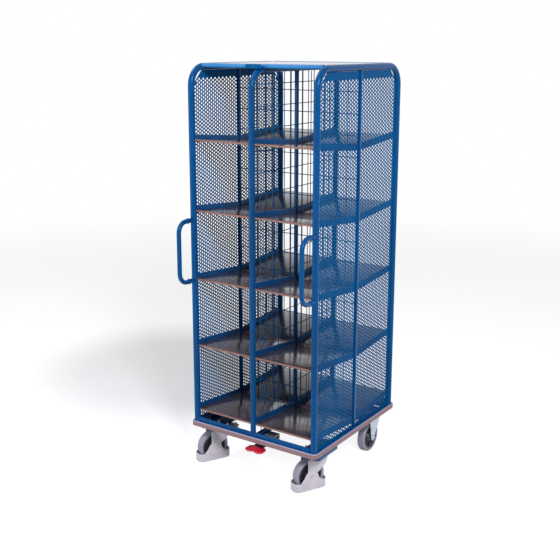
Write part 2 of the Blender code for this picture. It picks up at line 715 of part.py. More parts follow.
def make_bumper():
    """The strip round the base, with its outer edges eased."""
    bottom = CASTER_HEIGHT + MOUNT_DEPTH + SEAT_GAP
    outer = rounded_rectangle(BUMPER_HALF_X, BUMPER_HALF_Y, BUMPER_CORNER, bottom)
    inner_corner = BUMPER_CORNER - BUMPER_REACH + SEAT_GAP
    half_x = HALF_X + POST_RADIUS + SEAT_GAP
    half_y = HALF_Y + POST_RADIUS + SEAT_GAP
    inner = rounded_rectangle(half_x, half_y, inner_corner, bottom)
    shape = ring_prism(outer, inner, RING_HEIGHT - SEAT_GAP)
    limit_x = (half_x + BUMPER_HALF_X) / 2
    limit_y = (half_y + BUMPER_HALF_Y) / 2
    rims = []
    for edge in shape.edges:
        a, b = edge.verts
        level = abs(a.co.z - b.co.z) < BUMPER_EDGE / 2
        if level and all(outside(vert.co, limit_x, limit_y) for vert in (a, b)):
            rims.append(edge)
    bmesh.ops.bevel(shape, geom=rims, offset=BUMPER_EDGE, affect="EDGES", segments=1, profile=0.5, material=-1)
    make_part("bumper_strip", shape, "bumper_plastic")


def outside(point, limit_x, limit_y):
    """Whether a point of the bumper lies on its outer face, corners included."""
    corner_x = BUMPER_HALF_X - BUMPER_CORNER
    corner_y = BUMPER_HALF_Y - BUMPER_CORNER
    if abs(point.x) > corner_x and abs(point.y) > corner_y:
        reach = math.hypot(abs(point.x) - corner_x, abs(point.y) - corner_y)
        return reach > BUMPER_CORNER - BUMPER_REACH / 2
    return abs(point.x) > limit_x or abs(point.y) > limit_y


def pedal_bracket():
    """The folded bracket under the middle bar: a plate and two ears that the brake shaft turns in."""
    top = CASTER_HEIGHT + MOUNT_DEPTH + WELD_DEPTH
    plate_bottom = CASTER_HEIGHT + MOUNT_DEPTH - BRACKET_THICKNESS
    low = SHAFT_HEIGHT - BRACKET_EAR_RADIUS
    left = PEDAL_X - BRACKET_WIDTH / 2
    right = PEDAL_X + BRACKET_WIDTH / 2
    front = -CASTER_Y - BRACKET_LENGTH / 2
    back = -CASTER_Y + BRACKET_LENGTH / 2
    shape = box((left, front, plate_bottom), (right, back, top))
    for start in (left + SEAT_GAP, right - BRACKET_THICKNESS - SEAT_GAP):
        outline = [
            (start, front + BRACKET_THICKNESS, plate_bottom + BRACKET_THICKNESS / 2),
            (start, back - BRACKET_THICKNESS, plate_bottom + BRACKET_THICKNESS / 2),
            (start, -CASTER_Y + BRACKET_EAR_RADIUS, low),
            (start, -CASTER_Y - BRACKET_EAR_RADIUS, low),
        ]
        face = shape.faces.new([shape.verts.new(point) for point in outline])
        extrude(shape, [face], (BRACKET_THICKNESS, 0, 0))
    return shape


def make_handle(side, sign):
    """A D-shaped tube that stands out from a front post, shaped to the post where it is welded."""
    bend_y = -HALF_Y - HANDLE_REACH + HANDLE_BEND
    low = BASE_TOP + HANDLE_LOW
    high = BASE_TOP + HANDLE_HIGH
    tube = BentTube((0, -HALF_Y, high), (0, -1, 0), HANDLE_RADIUS)
    tube.run((0, bend_y + HALF_Y, 0))
    tube.bend((0, bend_y, high - HANDLE_BEND), (1, 0, 0), math.pi / 2)
    tube.run((0, 0, low - high + 2 * HANDLE_BEND))
    tube.bend((0, bend_y, low + HANDLE_BEND), (1, 0, 0), math.pi / 2)
    tube.run((0, -HALF_Y - bend_y, 0))
    place = (sign * HALF_X, 0, 0)
    handle = make_part(f"handle_{side}", tube.shape, "blue_paint", place, smooth=True)
    post = rod(
        (0, -HALF_Y, low - HANDLE_BEND), (0, -HALF_Y, high + HANDLE_BEND), POST_RADIUS + SEAT_GAP, TUBE_SIDES
    )
    combine(handle, post, "DIFFERENCE", "post", place)


def tyre_profile():
    half = TYRE_WIDTH / 2
    side = WHEEL_RADIUS - TYRE_SHOULDER
    return [
        (-half, TYRE_BORE),
        (-half, side),
        (-half + TYRE_SHOULDER, WHEEL_RADIUS),
        (half - TYRE_SHOULDER, WHEEL_RADIUS),
        (half, side),
        (half, TYRE_BORE),
    ]


def rim_profile():
    """Section of the wheel centre: a tapered boss round the axle's bore, a dished web and the rim."""
    edge = TYRE_BORE - SEAT_GAP / FACET_SHARE
    bore = (AXLE_RADIUS + AXLE_GAP) / math.cos(math.pi / AXLE_SIDES)
    right = [
        (BOSS_WIDTH / 2, bore),
        (BOSS_WIDTH / 2, BOSS_RADIUS),
        (WEB_WIDTH / 2, WEB_RADIUS),
        (RIM_WIDTH / 2, WEB_RADIUS + RIM_FLANGE / 2),
        (RIM_WIDTH / 2, edge),
    ]
    return right + [(-x, radius) for x, radius in reversed(right)]


def make_wheels(name, place, turn):
    for piece, profile, finish in (
        ("tyre", tyre_profile(), "grey_rubber"),
        ("wheel", rim_profile(), "black_plastic"),
    ):
        mesh_name = f"{piece}_mesh"
        mesh = bpy.data.meshes.get(mesh_name)
        if mesh is None:
            mesh = finished_mesh(turned(profile, WHEEL_SIDES), mesh_name, finish, smooth=True)
        add_object(f"{piece}_{name}", mesh, place, (0, 0, turn))


def swivel_place(sign):
    """The wheel's middle, trailing behind its swivel axis towards -Y and turned with the fork."""
    offset = Matrix.Rotation(SWIVEL_TURN, 3, "Z") @ Vector((0, -CASTER_TRAIL, AXLE_HEIGHT))
    return (sign * CASTER_X + offset.x, -CASTER_Y + offset.y, offset.z)


def make_swivel_plate(side, sign):
    """The bolted plate with the round ball race under it. A slot lets the brake shaft in."""
    plan = rounded_rectangle(
        CASTER_PLATE_WIDTH / 2, CASTER_PLATE_LENGTH / 2, CASTER_PLATE_CORNER, PLATE_BOTTOM, steps=2
    )
    place = (sign * CASTER_X, -CASTER_Y, 0)
    plate = make_part(
        f"swivel_plate_{side}", prism(plan, (0, 0, CASTER_PLATE_THICKNESS)), "zinc", place
    )
    low = PLATE_BOTTOM - HEAD_DROP
    race = ring_prism(
        circle(HEAD_RADIUS, low, HEAD_SIDES),
        circle(HEAD_RADIUS - HEAD_WALL, low, HEAD_SIDES),
        HEAD_DROP + WELD_DEPTH / 2,
    )
    combine(plate, race, "UNION", "race", place)
    half_slot = SHAFT_RADIUS + SHAFT_SLOT_GAP
    near, far = sorted((0, -sign * (HEAD_RADIUS + CUT_OVERRUN)))
    slot = box(
        (near, -half_slot, SHAFT_HEIGHT - half_slot), (far, half_slot, SHAFT_HEIGHT + half_slot)
    )
    combine(plate, slot, "DIFFERENCE", "slot", place)


def circle(radius, z, sides, centre_y=0.0):
    step = 2 * math.pi / sides
    return [
        (radius * math.cos(step * i), centre_y + radius * math.sin(step * i), z) for i in range(sides)
    ]


def between(start, end, shares):
    """Points part of the way from start to end, with a share for each coordinate."""
    return [(start[0] + (end[0] - start[0]) * a, start[1] + (end[1] - start[1]) * b) for a, b in shares]


def fork_cheek():
    """Side outline of a swivel fork's leg: an upright back, a notch in front, and flares into the guard."""
    centre = -CASTER_TRAIL
    half_guard = GUARD_LENGTH / 2 - GUARD_CORNER
    top = CROWN_TOP - CROWN_STEP
    back = centre - LEG_BACK
    flare = (back, AXLE_HEIGHT + FLARE_RISE)
    guard_back = (centre - half_guard, GUARD_TOP - SEAT_GAP)
    guard_front = (centre + half_guard, GUARD_TOP - SEAT_GAP)
    notch = (centre + NOTCH_AHEAD, AXLE_HEIGHT + NOTCH_RISE)
    return [
        (CROWN_REACH, top),
        (back + LEG_BACK_CORNER, top),
        (back, top - LEG_BACK_CORNER),
        flare,
        *between(flare, guard_back, BACK_FLARE_SHARES),
        guard_back,
        (centre - half_guard, GUARD_BOTTOM),
        (centre + half_guard, GUARD_BOTTOM),
        guard_front,
        *reversed(between(notch, guard_front, FRONT_FLARE_SHARES)),
        notch,
        (centre + NOTCH_SIDE_AHEAD, AXLE_HEIGHT + NOTCH_SIDE_RISE),
        (CROWN_REACH - HIP_IN, top - HIP_DROP),
        (CROWN_REACH - SKIRT_IN, top - SKIRT_DROP),
    ]


def guard_outline():
    return rounded_rectangle(GUARD_HALF_WIDTH, GUARD_LENGTH / 2, GUARD_CORNER, GUARD_BOTTOM + SEAT_GAP)


def axle_bore(reach, y):
    """The cutter for a fork's two axle holes."""
    radius = (AXLE_RADIUS + AXLE_GAP) / math.cos(math.pi / AXLE_SIDES)
    return rod((-reach, y, AXLE_HEIGHT), (reach, y, AXLE_HEIGHT), radius, AXLE_SIDES)


def make_axle(name, place, turn, seat):
    """A bolt through fork and wheel, with a head and a nut that seat on the fork at plus and minus seat."""
    end = seat + AXLE_HEAD_LENGTH
    axle = make_part(
        f"axle_{name}", rod((-end, 0, 0), (end, 0, 0), AXLE_RADIUS, AXLE_SIDES), "zinc", place, (0, 0, turn)
    )
    heads = bmesh.new()
    for way in (-1, 1):
        start = (way * (seat + SEAT_GAP), 0, 0)
        tip = (way * (end - AXLE_TIP), 0, 0)
        rod(start, tip, AXLE_HEAD_RADIUS, BOLT_SIDES, heads)
    combine(axle, heads, "UNION", "heads", place, (0, 0, turn))


def make_swivel_fork(side, sign):
    """The fork that turns under the plate: crown, two legs, and a foot guard right round the wheel."""
    place = (sign * CASTER_X, -CASTER_Y, 0)
    turn = (0, 0, SWIVEL_TURN)
    crown_bottom = CROWN_TOP - CROWN_THICKNESS
    bore = (PLUNGER_RADIUS + PLUNGER_BORE_GAP) / math.cos(math.pi / HEAD_SIDES)
    crown = ring_prism(
        circle(CROWN_RADIUS, crown_bottom, HEAD_SIDES), circle(bore, crown_bottom, HEAD_SIDES), CROWN_THICKNESS
    )
    fork = make_part(f"swivel_fork_{side}", crown, "grey_plastic", place, turn)
    cheeks = bmesh.new()
    for way in (-1, 1):
        inside = way * LEG_INSIDE
        outline = [(inside, y, z) for y, z in fork_cheek()]
        face = cheeks.faces.new([cheeks.verts.new(point) for point in outline])
        extrude(cheeks, [face], (way * LEG_THICKNESS, 0, 0))
    combine(fork, cheeks, "UNION", "cheeks", place, turn)
    inner = rounded_rectangle(
        GUARD_HALF_WIDTH - GUARD_WALL,
        GUARD_LENGTH / 2 - GUARD_WALL,
        GUARD_CORNER - GUARD_WALL,
        GUARD_BOTTOM + SEAT_GAP,
    )
    guard = ring_prism(guard_outline(), inner, GUARD_TOP - GUARD_BOTTOM)
    bmesh.ops.translate(guard, vec=(0, -CASTER_TRAIL, 0), verts=guard.verts)
    combine(fork, guard, "UNION", "guard", place, turn)
    boss = bmesh.new()
    for way in (-1, 1):
        start = (way * (LEG_INSIDE + SEAT_GAP), -CASTER_TRAIL, AXLE_HEIGHT)
        end = (way * (LEG_OUTSIDE + BOSS_STEP), -CASTER_TRAIL, AXLE_HEIGHT)
        rod(start, end, FORK_BOSS_RADIUS, HEAD_SIDES, boss)
    combine(fork, boss, "UNION", "bosses", place, turn)
    reach = LEG_OUTSIDE + BOSS_STEP + CUT_OVERRUN
    combine(fork, axle_bore(reach, -CASTER_TRAIL), "DIFFERENCE", "bore", place, turn)


def middle_x():
    """Half of how far the left guard, turned with its fork, stands out past the bumper."""
    turn = Matrix.Rotation(SWIVEL_TURN, 3, "Z")
    guard = [swivel_place(-1)[0] + (turn @ Vector(point)).x for point in guard_outline()]
    return max(0.0, -min(guard) - BUMPER_HALF_X) / 2


def make_fixed_fork(side, sign):
    """A pressed fork with two tapering legs under its plate, and the axle bolt through them."""
    place = (sign * CASTER_X, CASTER_Y, 0)
    plan = rounded_rectangle(
        FIXED_PLATE_WIDTH / 2, FIXED_PLATE_LENGTH / 2, CASTER_PLATE_CORNER, PLATE_BOTTOM, steps=2
    )
    plan = [(x, y + FIXED_PLATE_SHIFT, z) for x, y, z in plan]
    fork = make_part(f"fixed_fork_{side}", prism(plan, (0, 0, CASTER_PLATE_THICKNESS)), "zinc", place)
    legs = bmesh.new()
    half_top = FIXED_TOP_LENGTH / 2
    foot = []
    for step in range(FOOT_STEPS + 1):
        angle = math.pi + math.pi * step / FOOT_STEPS
        foot.append(
            (FIXED_FOOT_RADIUS * math.cos(angle), AXLE_HEIGHT + FIXED_FOOT_RADIUS * math.sin(angle))
        )
    top = PLATE_BOTTOM + CASTER_PLATE_THICKNESS / 2
    outline = [(FIXED_PLATE_SHIFT + half_top, top), (FIXED_PLATE_SHIFT - half_top, top)] + foot
    for way in (-1, 1):
        inside = way * FIXED_LEG_INSIDE
        face = legs.faces.new([legs.verts.new((inside, y, z)) for y, z in outline])
        extrude(legs, [face], (way * FIXED_LEG_THICKNESS, 0, 0))
    combine(fork, legs, "UNION", "legs", place)
    combine(fork, axle_bore(FIXED_LEG_OUTSIDE + CUT_OVERRUN, 0), "DIFFERENCE", "bore", place)


def make_brake_shaft():
    """The six-sided bar that joins both swivel casters, with an eccentric cam at each end and the pedal's arm."""
    reach = CASTER_X + CAM_WIDTH / 2
    place = (0, -CASTER_Y, SHAFT_HEIGHT)
    bar = rod((-reach, 0, 0), (reach, 0, 0), SHAFT_RADIUS, SHAFT_SIDES)
    shaft = make_part("brake_shaft", bar, "zinc", place)
    cams = bmesh.new()
    for sign in (-1, 1):
        middle = sign * CASTER_X
        start = (middle - CAM_WIDTH / 2, -CAM_THROW, 0)
        rod(start, (middle + CAM_WIDTH / 2, -CAM_THROW, 0), CAM_RADIUS, AXLE_SIDES, cams)
    combine(shaft, cams, "UNION", "cams", place)
    collar_start = PEDAL_X - ARM_WIDTH / 2
    collar = rod((collar_start, 0, 0), (collar_start + ARM_WIDTH, 0, 0), ARM_COLLAR_RADIUS, AXLE_SIDES)
    combine(shaft, collar, "UNION", "collar", place)
    arm = box(
        (collar_start, -PEDAL_BACK_REACH - PEDAL_CORNER, -ARM_THICKNESS / 2),
        (collar_start + ARM_WIDTH, -ARM_COLLAR_RADIUS + WELD_DEPTH, ARM_THICKNESS / 2),
    )
    combine(shaft, arm, "UNION", "arm", place)


def pedal_outline():
    """The tread seen from above: a straight back, round ends, and two lobes along the front."""
    half = PEDAL_WIDTH / 2
    back = -PEDAL_BACK_REACH
    front = -PEDAL_FRONT_REACH + PEDAL_LOBE
    points = [(-half + PEDAL_CORNER, back), (-half, back - PEDAL_CORNER)]
    for step in range(PEDAL_STEPS + 1):
        share = step / PEDAL_STEPS
        lobe = PEDAL_LOBE * abs(math.sin(2 * math.pi * share)) ** 0.6
        points.append((-half + PEDAL_WIDTH * share, front - lobe))
    points += [(half, back - PEDAL_CORNER), (half - PEDAL_CORNER, back)]
    return points


def make_pedal():
    """The red tread, which slides over the arm: the arm's end sits in a slot in its back."""
    place = (PEDAL_X, -CASTER_Y, SHAFT_HEIGHT)
    shape = prism([(x, y, -PEDAL_THICKNESS / 2) for x, y in pedal_outline()], (0, 0, PEDAL_THICKNESS))
    pedal = make_part("brake_pedal", shape, "red_plastic", place)
    slot = box(
        (
            -ARM_WIDTH / 2 - SEAT_GAP,
            -PEDAL_BACK_REACH - PEDAL_CORNER - SEAT_GAP,
            -ARM_THICKNESS / 2 - SEAT_GAP,
        ),
        (ARM_WIDTH / 2 + SEAT_GAP, -PEDAL_BACK_REACH + CUT_OVERRUN, ARM_THICKNESS / 2 + SEAT_GAP),
    )
    combine(pedal, slot, "DIFFERENCE", "slot", place)


def make_plunger(side, sign):
    """The pin in the swivel's middle that the cam pushes down, with the round shoe that grips the tyre."""
    place = (sign * CASTER_X, -CASTER_Y, 0)
    top = SHAFT_HEIGHT - CAM_RADIUS - SEAT_GAP
    near = CASTER_TRAIL - SHOE_RADIUS
    tyre_top = AXLE_HEIGHT + math.sqrt(WHEEL_RADIUS**2 - near**2)
    shoe_bottom = tyre_top + PLUNGER_TRAVEL + SEAT_GAP
    pin = rod((0, 0, shoe_bottom + SHOE_HEIGHT / 2), (0, 0, top), PLUNGER_RADIUS, HEAD_SIDES)
    plunger = make_part(f"brake_plunger_{side}", pin, "zinc", place, smooth=True)
    shoe = rod((0, 0, shoe_bottom), (0, 0, shoe_bottom + SHOE_HEIGHT), SHOE_RADIUS, HEAD_SIDES)
    combine(plunger, shoe, "UNION", "shoe", place)


SIDES = (("left", -1), ("right", 1))
HALVES = ("front", "rear")

clear_scene()
MATERIALS = {name: make_finish(name) for name in FINISHES}
TROLLEY = bpy.data.objects.new("trolley", None)
TROLLEY.location = (middle_x(), MIDDLE_Y, 0)
bpy.context.scene.collection.objects.link(TROLLEY)

make_base_frame()
make_bumper()
make_divider_frame()
make_top_board()
make_brake_shaft()
make_pedal()
for half in HALVES:
    make_top_rail(half)
    make_divider_mesh(half)
for side, sign in SIDES:
    make_side_frame(side, sign)
    make_centre_mesh(side, sign)
    make_handle(side, sign)
    make_swivel_plate(side, sign)
    make_swivel_fork(side, sign)
    make_plunger(side, sign)
    make_fixed_fork(side, sign)
    make_wheels(f"front_{side}", swivel_place(sign), SWIVEL_TURN)
    make_axle(f"front_{side}", swivel_place(sign), SWIVEL_TURN, LEG_OUTSIDE + BOSS_STEP)
    rear_place = (sign * CASTER_X, CASTER_Y, AXLE_HEIGHT)
    make_wheels(f"rear_{side}", rear_place, 0)
    make_axle(f"rear_{side}", rear_place, 0, FIXED_LEG_OUTSIDE)
    for half in HALVES:
        make_side_sheet(side, sign, half)
        for level in range(SHELF_LEVELS):
            make_shelf(side, sign, level, half)
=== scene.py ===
# %% [markdown]
# # A document trolley, dressed on its CAD frame
#
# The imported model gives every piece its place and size, but its pieces are plain solids. This lesson puts
# finer pieces over them one at a time, each riding on the same body as the solid that it stands for.

# %% Load the trolley
import math

import bmesh
import bpy
from mathutils import Matrix, Vector


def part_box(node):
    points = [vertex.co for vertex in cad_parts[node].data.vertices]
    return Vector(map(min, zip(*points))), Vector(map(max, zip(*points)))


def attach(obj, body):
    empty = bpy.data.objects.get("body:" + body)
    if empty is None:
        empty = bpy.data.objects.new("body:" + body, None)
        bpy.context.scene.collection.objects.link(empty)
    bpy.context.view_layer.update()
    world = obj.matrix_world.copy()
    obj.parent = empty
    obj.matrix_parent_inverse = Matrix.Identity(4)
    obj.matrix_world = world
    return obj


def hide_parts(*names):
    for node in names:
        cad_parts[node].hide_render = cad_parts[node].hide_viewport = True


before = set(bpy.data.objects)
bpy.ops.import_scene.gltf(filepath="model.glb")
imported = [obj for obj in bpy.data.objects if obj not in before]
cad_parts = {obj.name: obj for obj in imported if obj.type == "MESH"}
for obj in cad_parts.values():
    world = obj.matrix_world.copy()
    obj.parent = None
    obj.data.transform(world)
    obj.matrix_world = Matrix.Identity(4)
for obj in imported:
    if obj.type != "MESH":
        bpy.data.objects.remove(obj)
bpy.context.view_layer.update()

# %% [markdown]
# ## Sizes that the pieces share
#
# All lengths are in metres. The trolley is easiest to build about the middle of its own base, so every shape
# is made there first. The last step of each piece then moves its mesh by MIDDLE, to where the CAD base is.

# %% Middle and main sizes
base_low, base_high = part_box("base_frame")
MIDDLE = Vector(((base_low[0] + base_high[0]) / 2, (base_low[1] + base_high[1]) / 2, 0))
HALF_X = 0.344
HALF_Y = 0.36775
BASE_TOP = 0.23498
POST_RADIUS = 0.0155
DIVIDER_RADIUS = 0.0135
BEND_RADIUS = 0.090
TOP_AXIS = 1.97448
DIVIDER_TOP = 1.96518
BEND_Y = HALF_Y - BEND_RADIUS
RAIL_RADIUS = 0.0105
RAIL_Y = HALF_Y - 0.073
CLEARANCE = 0.0003
SIDES = (("left", -1), ("right", 1))
HALVES = (("front", -1), ("rear", 1))
print("middle of the base", [round(value, 4) for value in MIDDLE])

# %% [markdown]
# ## Shader maths as Python
#
# A Math node for every sum makes long scripts. A small class wraps a socket and overloads the operators, so an
# expression such as 1 - mask adds its own nodes. Every other node comes from one method of the class NodeTree,
# which the materials and the world share.

# %% A socket that can be added and multiplied
class Signal:
    def __init__(self, owner, socket):
        self.owner = owner
        self.socket = socket

    def __add__(self, other):
        return self.owner.math("ADD", self, other)

    def __sub__(self, other):
        return self.owner.math("SUBTRACT", self, other)

    def __rsub__(self, other):
        return self.owner.math("SUBTRACT", other, self)

    def __mul__(self, other):
        return self.owner.math("MULTIPLY", self, other)

    __radd__, __rmul__ = __add__, __mul__


def set_all(thing, **settings):
    """Sets properties of a node, a modifier, a lamp or any other thing by name."""
    for key, value in settings.items():
        setattr(thing, key, value)


class NodeTree:
    def __init__(self, tree):
        self.tree = tree

    def node(self, kind, settings=None, sockets=None, output=0):
        node = self.tree.nodes.new(kind)
        set_all(node, **(settings or {}))
        for key, value in (sockets or {}).items():
            self.feed(node.inputs[key], value)
        return Signal(self, node.outputs[output])

    def math(self, operation, first, second=0.0):
        return self.node("ShaderNodeMath", {"operation": operation}, {0: first, 1: second})

    def output_of(self, node):
        return Signal(self, node.outputs[0])

    def feed(self, socket, value):
        if isinstance(value, Signal):
            self.tree.links.new(value.socket, socket)
        else:
            socket.default_value = value

    def seen(self):
        """1 for rays from the camera, a mirror or clear glass, 0 for rays that light the trolley."""
        camera = self.node("ShaderNodeLightPath", output="Is Camera Ray")
        mirror = self.node("ShaderNodeLightPath", output="Is Glossy Ray")
        clear = self.node("ShaderNodeLightPath", output="Is Transmission Ray")
        return camera + mirror + clear


# %% A material that grows node by node
def paint(red, green, blue):
    """A colour as a screen shows it, 0 to 255, made linear for the shader."""
    linear = []
    for value in (red, green, blue):
        share = value / 255
        linear.append(share / 12.92 if share < 0.04045 else ((share + 0.055) / 1.055) ** 2.4)
    return (*linear, 1.0)


class Finish(NodeTree):
    def __init__(self, name, **constants):
        self.material = bpy.data.materials.new(name)
        self.material.use_nodes = True
        super().__init__(self.material.node_tree)
        self.shader = self.tree.nodes["Principled BSDF"]
        for socket, value in constants.items():
            self.shader.inputs[socket.replace("_", " ")].default_value = value
        self.place = self.node("ShaderNodeTexCoord", output="Object")

    def noise(self, scale, detail, roughness=0.5, vector=None):
        sockets = {"Vector": vector or self.place, "Scale": scale, "Detail": detail, "Roughness": roughness}
        return self.node("ShaderNodeTexNoise", None, sockets)

    def streaks(self, x, y, z, detail=4.0, roughness=0.6):
        """Noise scaled along each axis on its own, so that it stretches along the smallest."""
        vector = self.node("ShaderNodeMapping", None, {"Vector": self.place, "Scale": (x, y, z)})
        return self.noise(1.0, detail, roughness, vector)

    def between(self, value, low, high):
        """0 below low, 1 above high, and a smooth step from one to the other."""
        sockets = {"Value": value, "From Min": low, "From Max": high}
        return self.node("ShaderNodeMapRange", {"interpolation_type": "SMOOTHSTEP"}, sockets)

    def spots(self, low, high, *noise):
        """Soft-edged patches where a noise is high."""
        return self.between(self.noise(*noise), low, high)

    def blend(self, factor, first, second):
        return self.node("ShaderNodeMix", {"data_type": "RGBA"}, {0: factor, 6: first, 7: second}, 2)

    def measure(self, operation, first, second):
        """A Vector Math node that gives one number."""
        return self.node("ShaderNodeVectorMath", {"operation": operation}, {0: first, 1: second}, "Value")

    def bump(self, height, strength, distance):
        return self.node("ShaderNodeBump", None, {"Height": height, "Strength": strength, "Distance": distance})

    def cover(self, colour, gloss, relief, coat=None):
        links = {"Base Color": colour, "Roughness": gloss, "Normal": relief}
        if coat:
            links["Coat Weight"] = coat
        for name, value in links.items():
            self.feed(self.shader.inputs[name], value)
        return self.material


print("colour test", [round(value, 3) for value in paint(10, 90, 150)])

# %% [markdown]
# ## Blue powder coat
#
# The tubes, sheets and nets are sprayed with dry powder and baked. The skin that this leaves is glossy but not
# flat: it has a fine orange-peel ripple about a millimetre wide. A noise texture gives the ripple as bump,
# broad noise shifts the tone a little, and rare small scuffs show where loads and hands have rubbed.

# %% Blue powder coat
def make_blue_paint(name, shine, tint, dark, light):
    finish = Finish(name, Specular_IOR_Level=shine, Specular_Tint=tint)
    tone = finish.noise(2.2, 3.0)
    peel = finish.noise(750.0, 2.0, 0.6)
    scuff = finish.spots(0.66, 0.74, 60.0, 8.0, 0.75) * finish.spots(0.50, 0.62, 5.0, 4.0)
    colour = finish.blend(finish.between(tone, 0.35, 0.65), dark, light)
    colour = finish.blend(scuff * 0.35, colour, paint(60, 120, 168))
    gloss = 0.24 + 0.10 * tone + 0.18 * scuff
    return finish.cover(colour, gloss, finish.bump(peel, 0.10, 0.0004))


WHITE, BLUE_TINT = (1, 1, 1, 1), (0.14, 0.55, 1.0, 1)
BLUE = make_blue_paint("blue powder coat", 0.45, BLUE_TINT, paint(0, 60, 114), paint(0, 70, 130))
# The rails take a paler copy of the same coat: the lighter blue is a painted highlight, standing for the broad
# reflection along the round rail.
HIGHLIT_RAIL_BLUE = make_blue_paint("blue powder coat on rails with painted highlight", 0.80, BLUE_TINT, paint(34, 104, 166), paint(52, 124, 186))
SHEET_BLUE = make_blue_paint("blue powder coat on sheet", 0.03, WHITE, paint(0, 77, 131), paint(0, 89, 145))
print("made", BLUE.name, HIGHLIT_RAIL_BLUE.name, SHEET_BLUE.name)

# %% [markdown]
# ## Boards
#
# The shelves are plywood faced with a smooth dark film, so the faces mirror the net and the posts while the
# sawn edges show the plies. Each board carries a ply attribute, 0 at its underside and 1 at its top, that the
# edge stripes follow whatever the board's slope. The film is a skin on the two faces only, where the attribute
# is 0 or 1, so its distance from the middle tells face from edge.

# %% Film-faced plywood
def make_film_board(name, film_dark, film_light, edge_dark, edge_light, roughness):
    finish = Finish(name, Coat_Roughness=0.08)
    height = finish.node("ShaderNodeAttribute", {"attribute_name": "ply"}, output="Fac")
    skin = finish.between(finish.math("ABSOLUTE", height - 0.5), 0.44, 0.47)
    cloud = finish.noise(6.0, 4.0)
    fibre = finish.streaks(260.0, 9.0, 260.0, 5.0)
    scratch = finish.between(finish.streaks(14.0, 420.0, 14.0, 6.0, 0.7), 0.60, 0.70)
    film = finish.blend(finish.between(cloud * 0.6 + fibre * 0.4, 0.35, 0.65), film_dark, film_light)
    stripe = finish.math("PINGPONG", height * 5.0, 1.0)
    plies = finish.blend(finish.between(stripe, 0.35, 0.65), edge_dark, edge_light)
    grain = finish.streaks(90.0, 90.0, 900.0)
    plies = finish.blend(grain * 0.5, plies, edge_dark)
    colour = finish.blend(skin, plies, film)
    edge = 1 - skin
    gloss = roughness + 0.06 * fibre + 0.10 * scratch + edge * 0.35
    return finish.cover(colour, gloss, finish.bump(fibre * 0.4 + edge * grain, 0.06, 0.0006), skin * 0.2)


FILM = make_film_board(
    "dark film board", paint(60, 47, 57), paint(80, 65, 76), paint(110, 74, 66), paint(168, 126, 112), 0.17
)
# The top board gets a paler copy of the film board: the pale colour is a painted reflection, the sheen that glossy
# film shows when seen nearly edge-on.
SHEEN_PAINTED_FILM = make_film_board(
    "film board with painted sheen", paint(170, 165, 182), paint(188, 184, 200), paint(120, 96, 92), paint(190, 164, 150), 0.14
)
print("made", FILM.name, "and", SHEEN_PAINTED_FILM.name)

# %% [markdown]
# ## Plastics and rubber
#
# The bumper is an extruded strip with faint draw lines along it, and faces that point up get a paler colour, a
# painted highlight. The caster forks, the hubs and the pedal are moulded, with a fine spark-eroded grain. The tyres
# are non-marking grey rubber, matt, and a little dirtier where they roll.

# %% Bumper strip
def make_bumper_finish():
    finish = Finish("bumper strip plastic")
    tone = finish.noise(9.0, 4.0)
    lines = finish.streaks(4.0, 4.0, 700.0, 3.0, 0.5)
    knocks = finish.spots(0.60, 0.68, 34.0, 6.0, 0.7)
    painted_highlight_up = finish.measure("DOT_PRODUCT", finish.node("ShaderNodeNewGeometry", output="Normal"), (0, 0, 1))
    colour = finish.blend(tone, paint(128, 98, 104), paint(150, 118, 122))
    # Painted highlight: faces that point up blend to a pale lavender.
    colour = finish.blend(finish.between(painted_highlight_up, 0.12, 0.50), colour, paint(166, 160, 188))
    colour = finish.blend(knocks * 0.4, colour, paint(96, 78, 86))
    return finish.cover(colour, 0.42 + 0.15 * tone + 0.1 * knocks, finish.bump(lines + knocks * 0.5, 0.12, 0.0005))


BUMPER = make_bumper_finish()
print("made", BUMPER.name)


# %% Moulded plastics and rubber
def make_moulded(name, dark, light, wear, roughness, grain_scale, relief, coat=0.0):
    """Moulded skin: cloudy tone, fine grain as bump, and rare rubs in the colour that wear gives."""
    finish = Finish(name, Coat_Weight=coat, Coat_Roughness=0.15)
    tone = finish.noise(14.0, 4.0)
    grain = finish.noise(grain_scale, 3.0, 0.6)
    rub = finish.spots(0.60, 0.70, 70.0, 7.0, 0.7)
    colour = finish.blend(finish.between(tone, 0.3, 0.7), dark, light)
    colour = finish.blend(rub * 0.45, colour, wear)
    return finish.cover(colour, roughness + 0.12 * tone + 0.12 * rub, finish.bump(grain, relief, 0.0004))


FORK_GREY = make_moulded(
    "fork grey", paint(192, 187, 196), paint(214, 209, 217), paint(226, 222, 229), 0.30, 420.0, 0.12, 0.2
)
RUBBER = make_moulded(
    "grey tyre rubber", paint(138, 136, 154), paint(160, 158, 176), paint(112, 108, 118), 0.52, 600.0, 0.20
)
HUB_BLACK = make_moulded("hub plastic", paint(34, 35, 44), paint(50, 51, 62), paint(84, 86, 100), 0.32, 500.0, 0.15)
RED = make_moulded(
    "red pedal plastic", paint(184, 4, 38), paint(212, 10, 50), paint(228, 62, 88), 0.26, 520.0, 0.10, 0.3
)
print("made", FORK_GREY.name, RUBBER.name, HUB_BLACK.name, RED.name)

# %% [markdown]
# ## Zinc plate
#
# The plates, bolts and fixed forks are steel with a bright bluish zinc layer. Plated sheet shows a soft mottle a
# few millimetres wide and faint rolling lines. Both change the roughness more than the colour. Small cast or
# turned parts carry a duller, thicker zinc.

